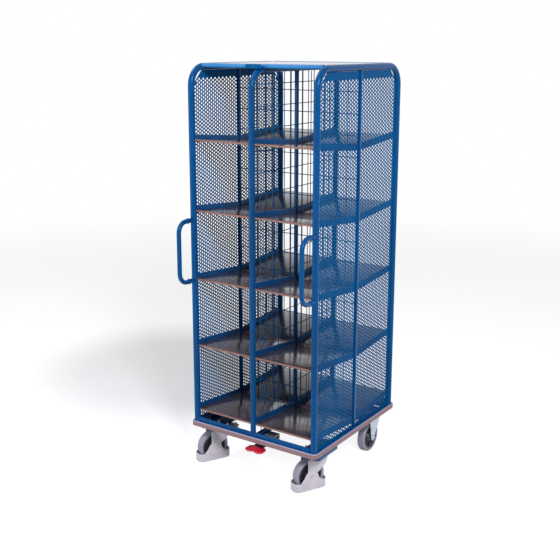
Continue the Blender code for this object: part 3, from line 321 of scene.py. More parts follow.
# %% Bright zinc
def make_zinc(name, dark, light, roughness, metal):
    finish = Finish(name, Metallic=metal)
    mottle = finish.node("ShaderNodeTexVoronoi", None, {"Vector": finish.place, "Scale": 190.0}, "Color")
    soft = finish.node("ShaderNodeSeparateColor", None, {0: mottle})
    rolled = finish.streaks(300.0, 12.0, 300.0)
    stain = finish.spots(0.52, 0.70, 26.0, 5.0)
    colour = finish.blend(soft * 0.6 + rolled * 0.4, dark, light)
    colour = finish.blend(stain * 0.4, colour, paint(150, 146, 156))
    gloss = roughness + 0.10 * soft + 0.14 * rolled + 0.12 * stain
    return finish.cover(colour, gloss, finish.bump(rolled, 0.05, 0.0003))


ZINC = make_zinc("bright zinc", paint(158, 172, 192), paint(196, 206, 222), 0.22, 1.0)
DULL_ZINC = make_zinc("dull zinc", paint(184, 174, 180), paint(208, 198, 202), 0.40, 0.4)

# %% [markdown]
# ## Helpers that every piece uses
#
# A bmesh is shaped in the trolley's own coordinates, then one function finishes it: doubles merged, normals made
# to point outwards, mesh moved by MIDDLE, smooth shading with sharp corners kept, the piece hung on an empty for
# the body it rides on, and the CAD nodes it stands for hidden.

# %% Finish a piece
def finish_piece(shape, name, finish, nodes=(), body="frame"):
    bmesh.ops.remove_doubles(shape, verts=shape.verts, dist=1e-6)
    bmesh.ops.recalc_face_normals(shape, faces=shape.faces)
    carry(shape, Matrix.Translation(MIDDLE))
    return place_mesh(mesh_of(shape, name), name, finish, nodes, body)


def mesh_of(shape, name):
    """The shape as a mesh. The shape itself is freed."""
    mesh = bpy.data.meshes.new(name)
    shape.to_mesh(mesh)
    shape.free()
    return mesh


def add_object(name, data):
    thing = bpy.data.objects.new(name, data)
    bpy.context.scene.collection.objects.link(thing)
    return thing


def place_mesh(mesh, name, finish, nodes, body="frame", crease=35.0):
    mesh.materials.clear()
    mesh.materials.append(finish)
    mesh.shade_smooth()
    mesh.set_sharp_from_angle(angle=math.radians(crease))
    piece = add_object(name, mesh)
    print("made", name, "with", len(mesh.polygons), "faces")
    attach(piece, body)
    if nodes:
        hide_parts(*nodes)
    return piece


def add_bevel(piece, width):
    """A live Bevel that eases every sharp edge."""
    bevel = piece.modifiers.new("eased edges", "BEVEL")
    set_all(bevel, width=width, segments=2, limit_method="ANGLE", angle_limit=math.radians(30.0))


# %% Basic shapes
def faces_of(geometry):
    return [item for item in geometry if isinstance(item, bmesh.types.BMFace)]


def verts_of(geometry):
    return [item for item in geometry if isinstance(item, bmesh.types.BMVert)]


def add_loop(shape, points):
    """New vertices at the points, joined by edges into a closed loop."""
    verts = [shape.verts.new(point) for point in points]
    return verts, [shape.edges.new(pair) for pair in zip(verts, verts[1:] + verts[:1])]


def extrude(shape, faces, vector):
    grown = bmesh.ops.extrude_face_region(shape, geom=faces)["geom"]
    bmesh.ops.translate(shape, vec=vector, verts=verts_of(grown))
    return faces_of(grown)


def prism(outline, vector, shape=None):
    """A flat outline pushed along a vector. It returns the shape and its new vertices."""
    shape = shape or bmesh.new()
    first = [shape.verts.new(point) for point in outline]
    grown = extrude(shape, [shape.faces.new(first)], vector)
    return shape, first + [vert for face in grown for vert in face.verts]


def ease(shape, verts, width, segments=2):
    """Rounds every edge between these vertices whose two faces meet at a corner."""
    shape.normal_update()
    chosen = set(verts)
    edges = [
        edge for edge in shape.edges
        if set(edge.verts) <= chosen and len(edge.link_faces) == 2 and edge.calc_face_angle() > 0.5
    ]
    bmesh.ops.bevel(
        shape, geom=edges, offset=width, affect="EDGES", segments=segments, profile=0.5, material=-1,
        clamp_overlap=True,
    )


def block(low, high, width, shape=None, segments=2):
    """A bar or plate between two corners, with eased edges."""
    shape = shape or bmesh.new()
    size = Vector(high) - Vector(low)
    matrix = Matrix.Translation((Vector(low) + Vector(high)) / 2) @ Matrix.Diagonal((*size, 1))
    ease(shape, bmesh.ops.create_cube(shape, size=1, matrix=matrix)["verts"], width, segments)
    return shape


def span(way, near, far):
    """Two distances on the side that way gives, in rising order."""
    return sorted((way * near, way * far))


def towards(place, along):
    """The matrix that carries a shape to a place and turns its Z axis along a direction."""
    turn = Vector((0, 0, 1)).rotation_difference(Vector(along)).to_matrix().to_4x4()
    return Matrix.Translation(place) @ turn


def rod(start, end, radius, sides=24, shape=None, tip=None):
    """A round bar, or with a second radius a cone."""
    shape = shape or bmesh.new()
    along = Vector(end) - Vector(start)
    matrix = towards((Vector(start) + Vector(end)) / 2, along)
    bmesh.ops.create_cone(
        shape, cap_ends=True, segments=sides, radius1=radius, radius2=tip or radius, depth=along.length, matrix=matrix
    )
    return shape


def carry(shape, matrix):
    bmesh.ops.transform(shape, matrix=matrix, verts=shape.verts)


def new_verts(shape, old):
    return [vert for vert in shape.verts if vert not in old]


def lathe(profile, sides, shape=None, matrix=None):
    """A closed profile of (x, radius) points, turned about the X axis. It is then put in place by a matrix."""
    shape = shape or bmesh.new()
    old = set(shape.verts)
    first, edges = add_loop(shape, [(x, 0, radius) for x, radius in profile])
    bmesh.ops.spin(
        shape, geom=first + edges, cent=(0, 0, 0), axis=(1, 0, 0), angle=2 * math.pi, steps=sides, use_merge=True
    )
    bmesh.ops.remove_doubles(shape, verts=new_verts(shape, old), dist=1e-6)
    if matrix:
        bmesh.ops.transform(shape, matrix=matrix, verts=new_verts(shape, old))
    return shape


# %% [markdown]
# ## Bent tubes and weld beads
#
# A tube mill bends round tube on a roller, so a bend is a true arc. The same steps make the mesh: a disc is
# pushed along each straight run and spun round the centre of each bend. A weld bead is a thin rod laid along the
# joint. As a curve with a bevel it can follow any path, and uneven point radii give the ripples of a real bead.

# %% Bent tube
class BentTube:
    """A round tube in the plane of Y and Z."""
    def __init__(self, start, along, radius):
        self.shape = bmesh.new()
        matrix = towards(start, along)
        bmesh.ops.create_circle(self.shape, cap_ends=True, segments=24, radius=radius, matrix=matrix)
        self.end = list(self.shape.faces)

    def run(self, vector):
        old = self.end
        self.end = extrude(self.shape, old, vector)
        self.drop_inner(old)

    def bend(self, centre, angle):
        old = self.end
        grown = bmesh.ops.spin(self.shape, geom=old, cent=centre, axis=(1, 0, 0), angle=angle, steps=12)
        self.end = faces_of(grown["geom_last"])
        self.drop_inner(old)

    def drop_inner(self, old):
        inner = [disc for disc in old if disc.is_valid and len(disc.edges[0].link_faces) > 2]
        bmesh.ops.delete(self.shape, geom=inner, context="FACES_ONLY")


def make_hoop(radius, top_axis):
    """A tube bent to an upside-down U, standing on the base."""
    bend_z = top_axis - BEND_RADIUS
    hoop = BentTube((0, -HALF_Y, BASE_TOP), (0, 0, 1), radius)
    hoop.run((0, 0, bend_z - BASE_TOP))
    hoop.bend((0, -BEND_Y, bend_z), -math.pi / 2)
    hoop.run((0, 2 * BEND_Y, 0))
    hoop.bend((0, BEND_Y, bend_z), -math.pi / 2)
    hoop.run((0, 0, BASE_TOP - bend_z))
    return hoop.shape


# %% Weld bead
ROUND_STEPS, SQUARE_STEPS = 28, 5


def bead(shape, points, radius=0.0022, closed=True):
    """Adds a rippled weld bead along the points to a shape."""
    line = bpy.data.curves.new("bead", "CURVE")
    set_all(line, dimensions="3D", bevel_depth=radius, bevel_resolution=1, use_fill_caps=True)
    spline = line.splines.new("POLY")
    spline.points.add(len(points) - 1)
    for index, (point, place) in enumerate(zip(spline.points, points)):
        point.co = (*place, 1)
        point.radius = 1.15 if index % 2 else 0.8
    spline.use_cyclic_u = closed
    holder = bpy.data.objects.new("bead", line)
    mesh = bpy.data.meshes.new_from_object(holder)
    shape.from_mesh(mesh)
    bpy.data.objects.remove(holder)
    bpy.data.curves.remove(line)
    bpy.data.meshes.remove(mesh)


def round_path(centre, radius, axis, saddle=0.0):
    """Points round a tube that ends on a post along the axis, dipping with the post's roundness."""
    along = Vector(axis)
    side = along.orthogonal().normalized() if abs(along.z) > 0.9 else Vector((0, 0, 1)).cross(along)
    up = along.cross(side)
    points = []
    for step in range(ROUND_STEPS):
        angle = 2 * math.pi * step / ROUND_STEPS
        across = radius * math.cos(angle)
        dip = saddle - math.sqrt(max(saddle**2 - across**2, 0)) if saddle else 0.0
        points.append(Vector(centre) + side * across + up * radius * math.sin(angle) - along * dip)
    return points


def square_path(centre, half):
    """Points round the foot of a square bar."""
    corners = [Vector(centre) + Vector((x * half, y * half, 0)) for x, y in ((-1, -1), (1, -1), (1, 1), (-1, 1))]
    points = []
    for start, end in zip(corners, corners[1:] + corners[:1]):
        points += [start.lerp(end, step / SQUARE_STEPS) for step in range(SQUARE_STEPS)]
    return points


print("bead path has", ROUND_STEPS, "points")

# %% [markdown]
# ## Hoop frames with their sloping rails
#
# Each side is one hoop with a square strut up its middle and ten sloping angle irons welded inside it. The
# divider is the same in thinner tube, with angle irons on both faces. The rails slope down towards the middle so
# that a load can't slide out, and the rear half mirrors the front.

# %% Places of the shelves
SLOPE = math.radians(5.0)
SHELF_LEVELS = 5
SHELF_PITCH = 0.3358
FIRST_SHELF = BASE_TOP + 0.064
BOARD = 0.009
ANGLE_UP, ANGLE_UNDER, ANGLE_WALL, ANGLE_END = 0.033, 0.030, 0.003, 0.006
SIDE_FACE, DIVIDER_FACE = HALF_X - 0.00105, 0.0028
STRUT = 0.016


def slope_matrix(half, level):
    """From a shelf's own frame, with Y along the slope from its front edge, to the trolley's."""
    height = FIRST_SHELF + level * SHELF_PITCH
    matrix = Matrix.Translation((0, -HALF_Y, height)) @ Matrix.Rotation(-SLOPE, 4, "X")
    return matrix if half == "front" else Matrix.Scale(-1, 4, (0, 1, 0)) @ matrix


def add_angle(shape, wall, way, front, half, level):
    """One angle iron: an L profile with a rounded heel and toes, pushed along the slope."""
    under = -BOARD - CLEARANCE
    heel = under - ANGLE_WALL
    corners = [
        (wall, heel), (wall + way * ANGLE_UNDER, heel), (wall + way * ANGLE_UNDER, under),
        (wall + way * ANGLE_WALL, under), (wall + way * ANGLE_WALL, heel + ANGLE_UP), (wall, heel + ANGLE_UP),
    ]
    first = [shape.verts.new((x, front, z)) for x, z in corners]
    shape.faces.new(first)
    rounded = bmesh.ops.bevel(
        shape, geom=first, offset=0.0009, affect="VERTICES", segments=2, profile=0.5, material=-1
    )
    face = rounded["verts"][0].link_faces[0]
    length = (HALF_Y - ANGLE_END) / math.cos(SLOPE) - front
    grown = extrude(shape, [face], (0, length, 0))
    verts = {vert for side in grown for vert in side.verts} | set(face.verts)
    bmesh.ops.transform(shape, matrix=slope_matrix(half, level), verts=list(verts))


# %% Side frames and divider
def add_strut(shape, top, x):
    block((x - STRUT / 2, -STRUT / 2, BASE_TOP), (x + STRUT / 2, STRUT / 2, top + 0.003), 0.0018, shape, 3)
    for z in (BASE_TOP + 0.0005, top - 0.0005):
        bead(shape, square_path((x, 0, z), STRUT / 2 + 0.0005), 0.0018)


def add_rails(shape, walls, radius):
    """The angle irons on each wall, with a weld along the foot and up the side of each front end."""
    y = radius + 0.0004
    for wall, way in walls:
        for level in range(SHELF_LEVELS):
            for half, _ in HALVES:
                add_angle(shape, wall, way, radius - 0.004, half, level)
                matrix = slope_matrix(half, level)
                foot = [(wall + way * (0.002 + 0.0042 * index), y, -BOARD - 0.0035) for index in range(6)]
                rise = [(wall + way * 0.0032, y, -BOARD + 0.004 * index) for index in range(6)]
                for points in (foot, rise):
                    bead(shape, [matrix @ Vector(point) for point in points], 0.0016, closed=False)


def make_frame(name, node, x, radius, top_axis, walls):
    shape = make_hoop(radius, top_axis)
    carry(shape, Matrix.Translation((x, 0, 0)))
    add_strut(shape, top_axis - radius, x)
    add_rails(shape, walls, radius)
    for foot in (-HALF_Y, HALF_Y):
        bead(shape, round_path((x, foot, BASE_TOP + 0.0006), radius + 0.0006, (0, 0, 1)))
    finish_piece(shape, name, BLUE, [node])


for side, sign in SIDES:
    walls = [(sign * SIDE_FACE, -sign)]
    make_frame(f"side_hoop_{side}", f"side_frame_{side}", sign * HALF_X, POST_RADIUS, TOP_AXIS, walls)
walls = [(DIVIDER_FACE, 1), (-DIVIDER_FACE, -1)]
make_frame("divider_hoop", "divider_frame", 0, DIVIDER_RADIUS, DIVIDER_TOP, walls)

# %% [markdown]
# ## Perforated side sheets
#
# The sides are steel sheet punched with round holes on a triangular grid. The cheap way is a see-through
# texture, but then the edges of the holes have no thickness. Here every hole is real. One hexagonal cell with a
# round hole is bridged from two circles, copied up a column and across the sheet, and welded. Triangles then
# fill the plain margin between the cells and the sheet's outline, and solidify gives the sheet its thickness.
# The outline's long outer side has points along it, because the fill goes wrong where triangles get too thin.

# %% One cell with a hole
HOLE_PITCH = 0.0173
HOLE_RADIUS = 0.0058
SHEET = 0.0015
SHEET_INNER = STRUT / 2 + CLEARANCE
SHEET_OUTER = HALF_Y - POST_RADIUS - CLEARANCE
SHEET_BOTTOM = BASE_TOP + CLEARANCE
SHEET_TOP = TOP_AXIS - POST_RADIUS - CLEARANCE
CORNER_CLIP = 0.064
TOP_MARGIN = 0.035
EDGE_PARTS = 61
COLUMN_PITCH = HOLE_PITCH * math.cos(math.radians(30))
COLUMNS = int((SHEET_OUTER - SHEET_INNER - 0.028) / COLUMN_PITCH) + 1
ROWS = int((SHEET_TOP - SHEET_BOTTOM - TOP_MARGIN - 0.006) / HOLE_PITCH)


def add_cell(shape, rim):
    """Two loops of twelve points, a hexagon and a circle, bridged. The hexagon's edges are marked as rim."""
    turn = Matrix.Rotation(math.radians(30), 4, "Z")
    bmesh.ops.create_circle(shape, segments=6, radius=HOLE_PITCH / math.sqrt(3), matrix=turn)
    bmesh.ops.subdivide_edges(shape, edges=shape.edges, cuts=1)
    for edge in shape.edges:
        edge[rim] = 1
    bmesh.ops.create_circle(shape, segments=12, radius=HOLE_RADIUS)
    bmesh.ops.bridge_loops(shape, edges=shape.edges)


def everything(shape):
    return list(shape.verts) + list(shape.edges) + list(shape.faces)


def copy_by(shape, geometry, vector):
    copied = bmesh.ops.duplicate(shape, geom=geometry)["geom"]
    bmesh.ops.translate(shape, vec=vector, verts=verts_of(copied))


# %% One sheet from many cells
def make_sheet_mesh():
    """The front half's sheet, flat, with X away from the strut and Y up."""
    shape = bmesh.new()
    rim = shape.edges.layers.int.new("rim")
    add_cell(shape, rim)
    margin = (SHEET_OUTER - SHEET_INNER - (COLUMNS - 1) * COLUMN_PITCH) / 2
    carry(shape, Matrix.Translation((SHEET_INNER + margin, SHEET_BOTTOM + 0.012, 0)))
    cell = everything(shape)
    for row in range(1, ROWS - 2):
        copy_by(shape, cell, (0, row * HOLE_PITCH, 0))
    short_column = everything(shape)
    for row in (ROWS - 2, ROWS - 1):
        copy_by(shape, cell, (0, row * HOLE_PITCH, 0))
    column = everything(shape)
    for index in range(1, COLUMNS):
        copied = short_column if index == COLUMNS - 1 else column
        copy_by(shape, copied, (index * COLUMN_PITCH, HOLE_PITCH / 2 if index % 2 else 0, 0))
    bmesh.ops.remove_doubles(shape, verts=shape.verts, dist=0.0002)
    border = [edge for edge in shape.edges if edge[rim] and len(edge.link_faces) == 1]
    part = (SHEET_TOP - CORNER_CLIP - SHEET_BOTTOM) / EDGE_PARTS
    corners = [
        (SHEET_INNER, SHEET_BOTTOM), *((SHEET_OUTER, SHEET_BOTTOM + part * step) for step in range(EDGE_PARTS + 1)),
        (SHEET_OUTER - CORNER_CLIP, SHEET_TOP), (SHEET_INNER, SHEET_TOP),
    ]
    border += add_loop(shape, [(x, y, 0) for x, y in corners])[1]
    bmesh.ops.triangle_fill(shape, use_beauty=True, use_dissolve=False, edges=border)
    bmesh.ops.recalc_face_normals(shape, faces=shape.faces)
    bmesh.ops.solidify(shape, geom=shape.faces, thickness=SHEET)
    print("open or doubled edges", sum(len(edge.link_faces) != 2 for edge in shape.edges))
    return mesh_of(shape, "punched sheet")


punched = make_sheet_mesh()
print("holes in a sheet", ROWS * COLUMNS - 2)

# %% Four sheets in place
for side, sign in SIDES:
    for half, way in HALVES:
        shape = bmesh.new()
        shape.from_mesh(punched)
        middle = sum(vert.co.z for vert in shape.verts) / len(shape.verts)
        stand = Matrix(((0, 0, 1, sign * HALF_X - middle), (way, 0, 0, 0), (0, 1, 0, 0), (0, 0, 0, 1)))
        carry(shape, stand)
        finish_piece(shape, f"punched_sheet_{side}_{half}", SHEET_BLUE, [f"side_sheet_{side}_{half}"])
bpy.data.meshes.remove(punched)

# %% [markdown]
# ## Welded wire nets
#
# A net is two layers of round wire, uprights on one face and cross wires on the other, pressed a little into
# each other where they are spot welded. The uprights stand closer than the cross wires. Each wire is a short
# round rod, so the ends can be cut to the bend of the hoop one by one.

# %% Wires of a net
WIRE_RADIUS = 0.0020
UPRIGHT_PITCH = 0.050
CROSS_PITCH = 0.100
INNER_BEND = BEND_RADIUS - DIVIDER_RADIUS


def stations(first, end, pitch):
    return [first + pitch * step for step in range(int((end - first) / pitch) + 1)]


def make_net(first, end, first_level, top_at, end_at, high):
    """A net with X along it and Z up, in the plane Y = 0."""
    shape = bmesh.new()
    sunk = WIRE_RADIUS * 0.35
    for along in stations(first, end - 0.006, UPRIGHT_PITCH):
        rod((along, sunk, BASE_TOP), (along, sunk, top_at(along) + 0.002), WIRE_RADIUS, 8, shape)
    for level in stations(first_level, high - 0.015, CROSS_PITCH):
        rod((STRUT / 2 - 0.001, -sunk, level), (end_at(level) + 0.002, -sunk, level), WIRE_RADIUS, 8, shape)
    return shape


# %% Nets of the divider and between the front and rear shelves
def reach_in_bend(past):
    """How far a wire reaches into the hoop's bend, when it lies this far past the bend's start."""
    return math.sqrt(max(INNER_BEND**2 - max(0.0, past) ** 2, 0.0))


def divider_top(along):
    return BEND_Z + reach_in_bend(along - BEND_Y)


def divider_end(level):
    return BEND_Y + reach_in_bend(level - BEND_Z)


BEND_Z = DIVIDER_TOP - BEND_RADIUS
net_top = DIVIDER_TOP - DIVIDER_RADIUS
centre_end = HALF_X - STRUT / 2
for half, way in HALVES:
    shape = make_net(0.055, HALF_Y - DIVIDER_RADIUS, BASE_TOP + 0.066, divider_top, divider_end, net_top)
    carry(shape, Matrix.Rotation(way * math.pi / 2, 4, "Z"))
    finish_piece(shape, f"divider_net_{half}", SHEET_BLUE, [f"divider_mesh_{half}"])
for side, sign in SIDES:
    shape = make_net(0.031, centre_end, BASE_TOP + 0.029, lambda along: net_top, lambda level: centre_end, net_top)
    if sign < 0:
        carry(shape, Matrix.Rotation(math.pi, 4, "Z"))
    finish_piece(shape, f"centre_net_{side}", SHEET_BLUE, [f"centre_mesh_{side}"])

# %% [markdown]
# ## Twenty boards
#
# Each board is a sawn panel with its front corners notched round the posts. An outline is pushed up by the
# board's thickness and its edges are eased. The ply attribute is stored from the height while the board still
# lies flat, before the slope matrix carries it to its place.

# %% A board with its plies
BOARD_GAP = 0.0006
BOARD_END = 0.0105
NOTCH_GAP = 0.003


def store_plies(shape, low):
    layer = shape.verts.layers.float.new("ply")
    for vert in shape.verts:
        vert[layer] = min(1.0, max(0.0, (vert.co.z - low) / BOARD))


def board_outline(sign):
    inner = DIVIDER_FACE + ANGLE_WALL + BOARD_GAP
    outer = SIDE_FACE - ANGLE_WALL - BOARD_GAP
    back = (HALF_Y - BOARD_END) / math.cos(SLOPE)
    inner_notch, outer_notch = DIVIDER_RADIUS + BOARD_GAP, HALF_X - POST_RADIUS - BOARD_GAP
    inner_depth, outer_depth = DIVIDER_RADIUS + NOTCH_GAP, POST_RADIUS + NOTCH_GAP
    plan = [
        (inner_notch, 0), (outer_notch, 0), (outer_notch, outer_depth), (outer, outer_depth),
        (outer, back), (inner, back), (inner, inner_depth), (inner_notch, inner_depth),
    ]
    return [(sign * x, y, -BOARD) for x, y in plan]


for level in range(SHELF_LEVELS):
    for side, sign in SIDES:
        for half, _ in HALVES:
            shape, verts = prism(board_outline(sign), (0, 0, BOARD))
            ease(shape, shape.verts, 0.0006)
            store_plies(shape, -BOARD)
            carry(shape, slope_matrix(half, level))
            name = f"{level + 1}_{side}_{half}"
            finish_piece(shape, f"board_{name}", FILM, [f"shelf_{name}"])

# %% The top board
TOP_BOARD = 1.97898
top_x = HALF_X - POST_RADIUS - 0.0008
top_y = RAIL_Y - RAIL_RADIUS - 0.0008
shape = block((-top_x, -top_y, TOP_BOARD), (top_x, top_y, TOP_BOARD + BOARD), 0.0008)
store_plies(shape, TOP_BOARD)
# The top panel's pale film is a painted reflection.
finish_piece(shape, "top_panel", SHEEN_PAINTED_FILM, ["top_board"])

# %% [markdown]
# ## Top rails
#
# A round rail joins the two hoops at each end of the top board, and a short flat tab stands in front of it over
# the divider. The rail's ends meet the hoops in weld beads that follow the rail's rim.

# %% Rails and tabs
RAIL_Z = 1.97948
TAB_LEFT, TAB_RIGHT, TAB_HALF = -0.058, 0.026, 0.0095
reach = HALF_X - POST_RADIUS
for half, way in HALVES:
    y = way * RAIL_Y
    shape = rod((-reach - 0.001, y, RAIL_Z), (reach + 0.001, y, RAIL_Z), RAIL_RADIUS)
    for sign in (-1, 1):
        bead(shape, round_path((sign * reach, y, RAIL_Z), RAIL_RADIUS + 0.0005, (-sign, 0, 0)), 0.002)
    for vert in shape.verts:
        vert.co.z = min(vert.co.z, RAIL_Z + RAIL_RADIUS)
    # The rail's paler coat is a painted highlight.
    finish_piece(shape, f"top_tube_{half}", HIGHLIT_RAIL_BLUE, [f"top_rail_{half}"])
    near, far = span(way, RAIL_Y + 0.034, RAIL_Y + 0.037)
    shape = block((TAB_LEFT, near, RAIL_Z - TAB_HALF), (TAB_RIGHT, far, RAIL_Z + TAB_HALF), 0.0009)
    near, far = span(way, RAIL_Y + RAIL_RADIUS - 0.001, RAIL_Y + 0.035)
    block((TAB_LEFT + 0.0003, near, RAIL_Z - 0.0015), (TAB_RIGHT - 0.0003, far, RAIL_Z + 0.0015), 0.0004, shape)
    finish_piece(shape, f"top_tab_{half}", SHEET_BLUE)

# %% [markdown]
# ## Handles
#
# A handle is a D of bent tube, coped at both ends to sit on the round post. The coped edge is hidden by its
# bead, so the tube may simply run into the post, and the bead follows the saddle-shaped joint.

# %% Two D handles
HANDLE_RADIUS = 0.011
HANDLE_LOW, HANDLE_HIGH = BASE_TOP + 0.727, BASE_TOP + 1.023
HANDLE_REACH, HANDLE_BEND = 0.112, 0.050
HANDLE_END = -HALF_Y - 0.006
bend_y = -HALF_Y - HANDLE_REACH + HANDLE_BEND
for side, sign in SIDES:
    tube = BentTube((0, HANDLE_END, HANDLE_HIGH), (0, -1, 0), HANDLE_RADIUS)
    tube.run((0, bend_y - HANDLE_END, 0))
    tube.bend((0, bend_y, HANDLE_HIGH - HANDLE_BEND), math.pi / 2)
    tube.run((0, 0, HANDLE_LOW - HANDLE_HIGH + 2 * HANDLE_BEND))
    tube.bend((0, bend_y, HANDLE_LOW + HANDLE_BEND), math.pi / 2)
    tube.run((0, HANDLE_END - bend_y, 0))
    for z in (HANDLE_LOW, HANDLE_HIGH):
        seat = (0, -HALF_Y - POST_RADIUS, z)
        bead(tube.shape, round_path(seat, HANDLE_RADIUS + 0.0006, (0, -1, 0), -POST_RADIUS))
    carry(tube.shape, Matrix.Translation((sign * HALF_X, 0, 0)))
    finish_piece(tube.shape, f"grab_tube_{side}", BLUE, [f"handle_{side}"])

# %% [markdown]
# ## Base, mounting boxes and bumper
#
# The base is a low welded ring with a bar along its middle, thin upright flanges between the posts at the front
# and rear, and four pressed boxes that the casters bolt to. The front boxes have a skirt. A plastic strip is
# pushed on all round the ring. A ring with round corners is the band between two rounded rectangles, pushed up
# and eased.

# %% Rounded rings
def rounded_rectangle(half_x, half_y, corner, z, steps=8):
    """The points of a rectangle with round corners, counter-clockwise."""
    points = []
    for sign_x, sign_y, first in ((1, -1, -90), (1, 1, 0), (-1, 1, 90), (-1, -1, 180)):
        for step in range(steps + 1):
            angle = math.radians(first + 90 * step / steps)
            x = sign_x * (half_x - corner) + corner * math.cos(angle)
            y = sign_y * (half_y - corner) + corner * math.sin(angle)
            points.append((x, y, z))
    return points


def ring_prism(outer, inner, height, width, segments=2):
    shape = bmesh.new()
    edges = add_loop(shape, outer)[1] + add_loop(shape, inner)[1]
    band = bmesh.ops.bridge_loops(shape, edges=edges)["faces"]
    extrude(shape, band, (0, 0, height))
    bmesh.ops.recalc_face_normals(shape, faces=shape.faces)
    ease(shape, shape.verts, width, segments)
    return shape


def open_wall(half_x, half_y, corner, z, thickness, gap):
    """The plan of a wall round a rectangle, open at its -X side by twice the gap."""
    plan = []
    for inset, way in ((0.0004, 1), (0.0004 + thickness, -1)):
        loop = rounded_rectangle(half_x - inset, half_y - inset, corner - inset, z)
        loop = loop[27:] + loop[:27]
        edge = inset - half_x
        plan += [(edge, -gap, z), *loop, (edge, gap, z)][::way]
    return plan


def moved(plan, x, y, way=1):
    """The plan moved by x and y. With -1 as the way it is mirrored left to right first."""
    return [(way * px + x, py + y, pz) for px, py, pz in plan]


# %% Base frame
CASTER_HEIGHT = 0.19698
RING_LOW = CASTER_HEIGHT + 0.012
CASTER_X, CASTER_Y = 0.290, 0.250
FIXED_SHIFT = 0.026
RING_CORNER = 0.0152
MOUNT_X, MOUNT_HALF, REAR_MOUNT_HALF = 0.303, 0.053, 0.073
MOUNT_LENGTH, MOUNT_CORNER = 0.095, 0.020
shape = ring_prism(
    rounded_rectangle(HALF_X + POST_RADIUS, HALF_Y + POST_RADIUS, RING_CORNER, RING_LOW),
    rounded_rectangle(HALF_X - 0.0145, HALF_Y - 0.0145, RING_CORNER, RING_LOW), 0.026, 0.0015,
)
bar_x, bar_y = 0.008, HALF_Y - 0.012
block((-bar_x, -bar_y, RING_LOW + CLEARANCE), (bar_x, bar_y, BASE_TOP - CLEARANCE), 0.001, shape)
for way in (-1, 1):
    low, high = span(way, HALF_Y + 0.0085, HALF_Y + 0.0125)
    for sign in (-1, 1):
        near, far = span(sign, DIVIDER_RADIUS - 0.003, HALF_X - POST_RADIUS + 0.002)
        block((near, low, BASE_TOP - 0.003), (far, high, BASE_TOP + 0.022), 0.0014, shape, 3)
for sign in (-1, 1):
    for x, y, half in ((MOUNT_X, -CASTER_Y, MOUNT_HALF), (CASTER_X - 0.026, CASTER_Y, REAR_MOUNT_HALF)):
        plan = rounded_rectangle(half, MOUNT_LENGTH, MOUNT_CORNER, CASTER_HEIGHT + 0.0002)
        shape, verts = prism(moved(plan, sign * x, y), (0, 0, 0.0135), shape)
        ease(shape, verts, 0.0025, 3)
    plan = open_wall(MOUNT_HALF, MOUNT_LENGTH, MOUNT_CORNER, CASTER_HEIGHT - 0.015, 0.003, 0.009)
    shape, verts = prism(moved(plan, sign * MOUNT_X, -CASTER_Y, sign), (0, 0, 0.018), shape)
    ease(shape, verts, 0.0008)
finish_piece(shape, "base_weldment", BLUE, ["base_frame"])

# %% Bumper strip
BUMPER_LOW = RING_LOW + CLEARANCE
BUMPER_OUT = 0.0098
out_x, out_y = HALF_X + POST_RADIUS, HALF_Y + POST_RADIUS
shape = ring_prism(
    rounded_rectangle(out_x + BUMPER_OUT, out_y + BUMPER_OUT, 0.025, BUMPER_LOW),
    rounded_rectangle(out_x + CLEARANCE, out_y + CLEARANCE, 0.0155, BUMPER_LOW), 0.0257, 0.0036, 4,
)
finish_piece(shape, "bumper_band", BUMPER, ["bumper_strip"])

# %% [markdown]
# ## Nuts and bolts
#
# A hex head is a six-sided bar set on a washer, with a low cone of six sides on top as its chamfer. Washers and
# shanks are turned. One helper puts a bolt head on a surface that faces along any axis.

# %% Bolt heads
WASHER = 0.0012
BOLT_X, FIXED_BOLT_X, BOLT_Y = 0.029, 0.030, 0.0525


def add_bolt(shape, place, axis, radius=0.0075, height=0.0055, washer=0.0095, tail=0.0):
    def along(length):
        return Vector(place) + Vector(axis) * length

    rod(along(0), along(WASHER), washer, 20, shape)
    middle = WASHER + height * 0.72
    rod(along(0.0006), along(middle), radius, 6, shape)
    rod(along(middle - 0.0003), along(WASHER + height), radius * 0.995, 6, shape, tip=radius * 0.86)
    if tail:
        rod(along(0), along(WASHER + height + tail), radius * 0.52, 14, shape)


def bolt_places(x, y, half):
    return [(x + dx, y + dy) for dx in (-half, half) for dy in (-BOLT_Y, BOLT_Y)]


shape = bmesh.new()
for sign in (-1, 1):
    for y in (-CASTER_Y, CASTER_Y + FIXED_SHIFT):
        for place in bolt_places(sign * CASTER_X, y, BOLT_X):
            add_bolt(shape, (*place, CASTER_HEIGHT + 0.0137), (0, 0, 1), tail=0.008)
finish_piece(shape, "caster_nuts", DULL_ZINC)

# %% [markdown]
# ## Swivel casters
#
# Under each front corner a plate carries a ball race, and a fork turns under it. The fork is one moulding:
# crown, two legs that narrow to the axle, and a foot guard right round the wheel. A moulding has no sharp
# edges. The CAD fork has the right form, so a copy of it is merged, remeshed in small cells and smoothed, which
# rounds every inner and outer corner at once.

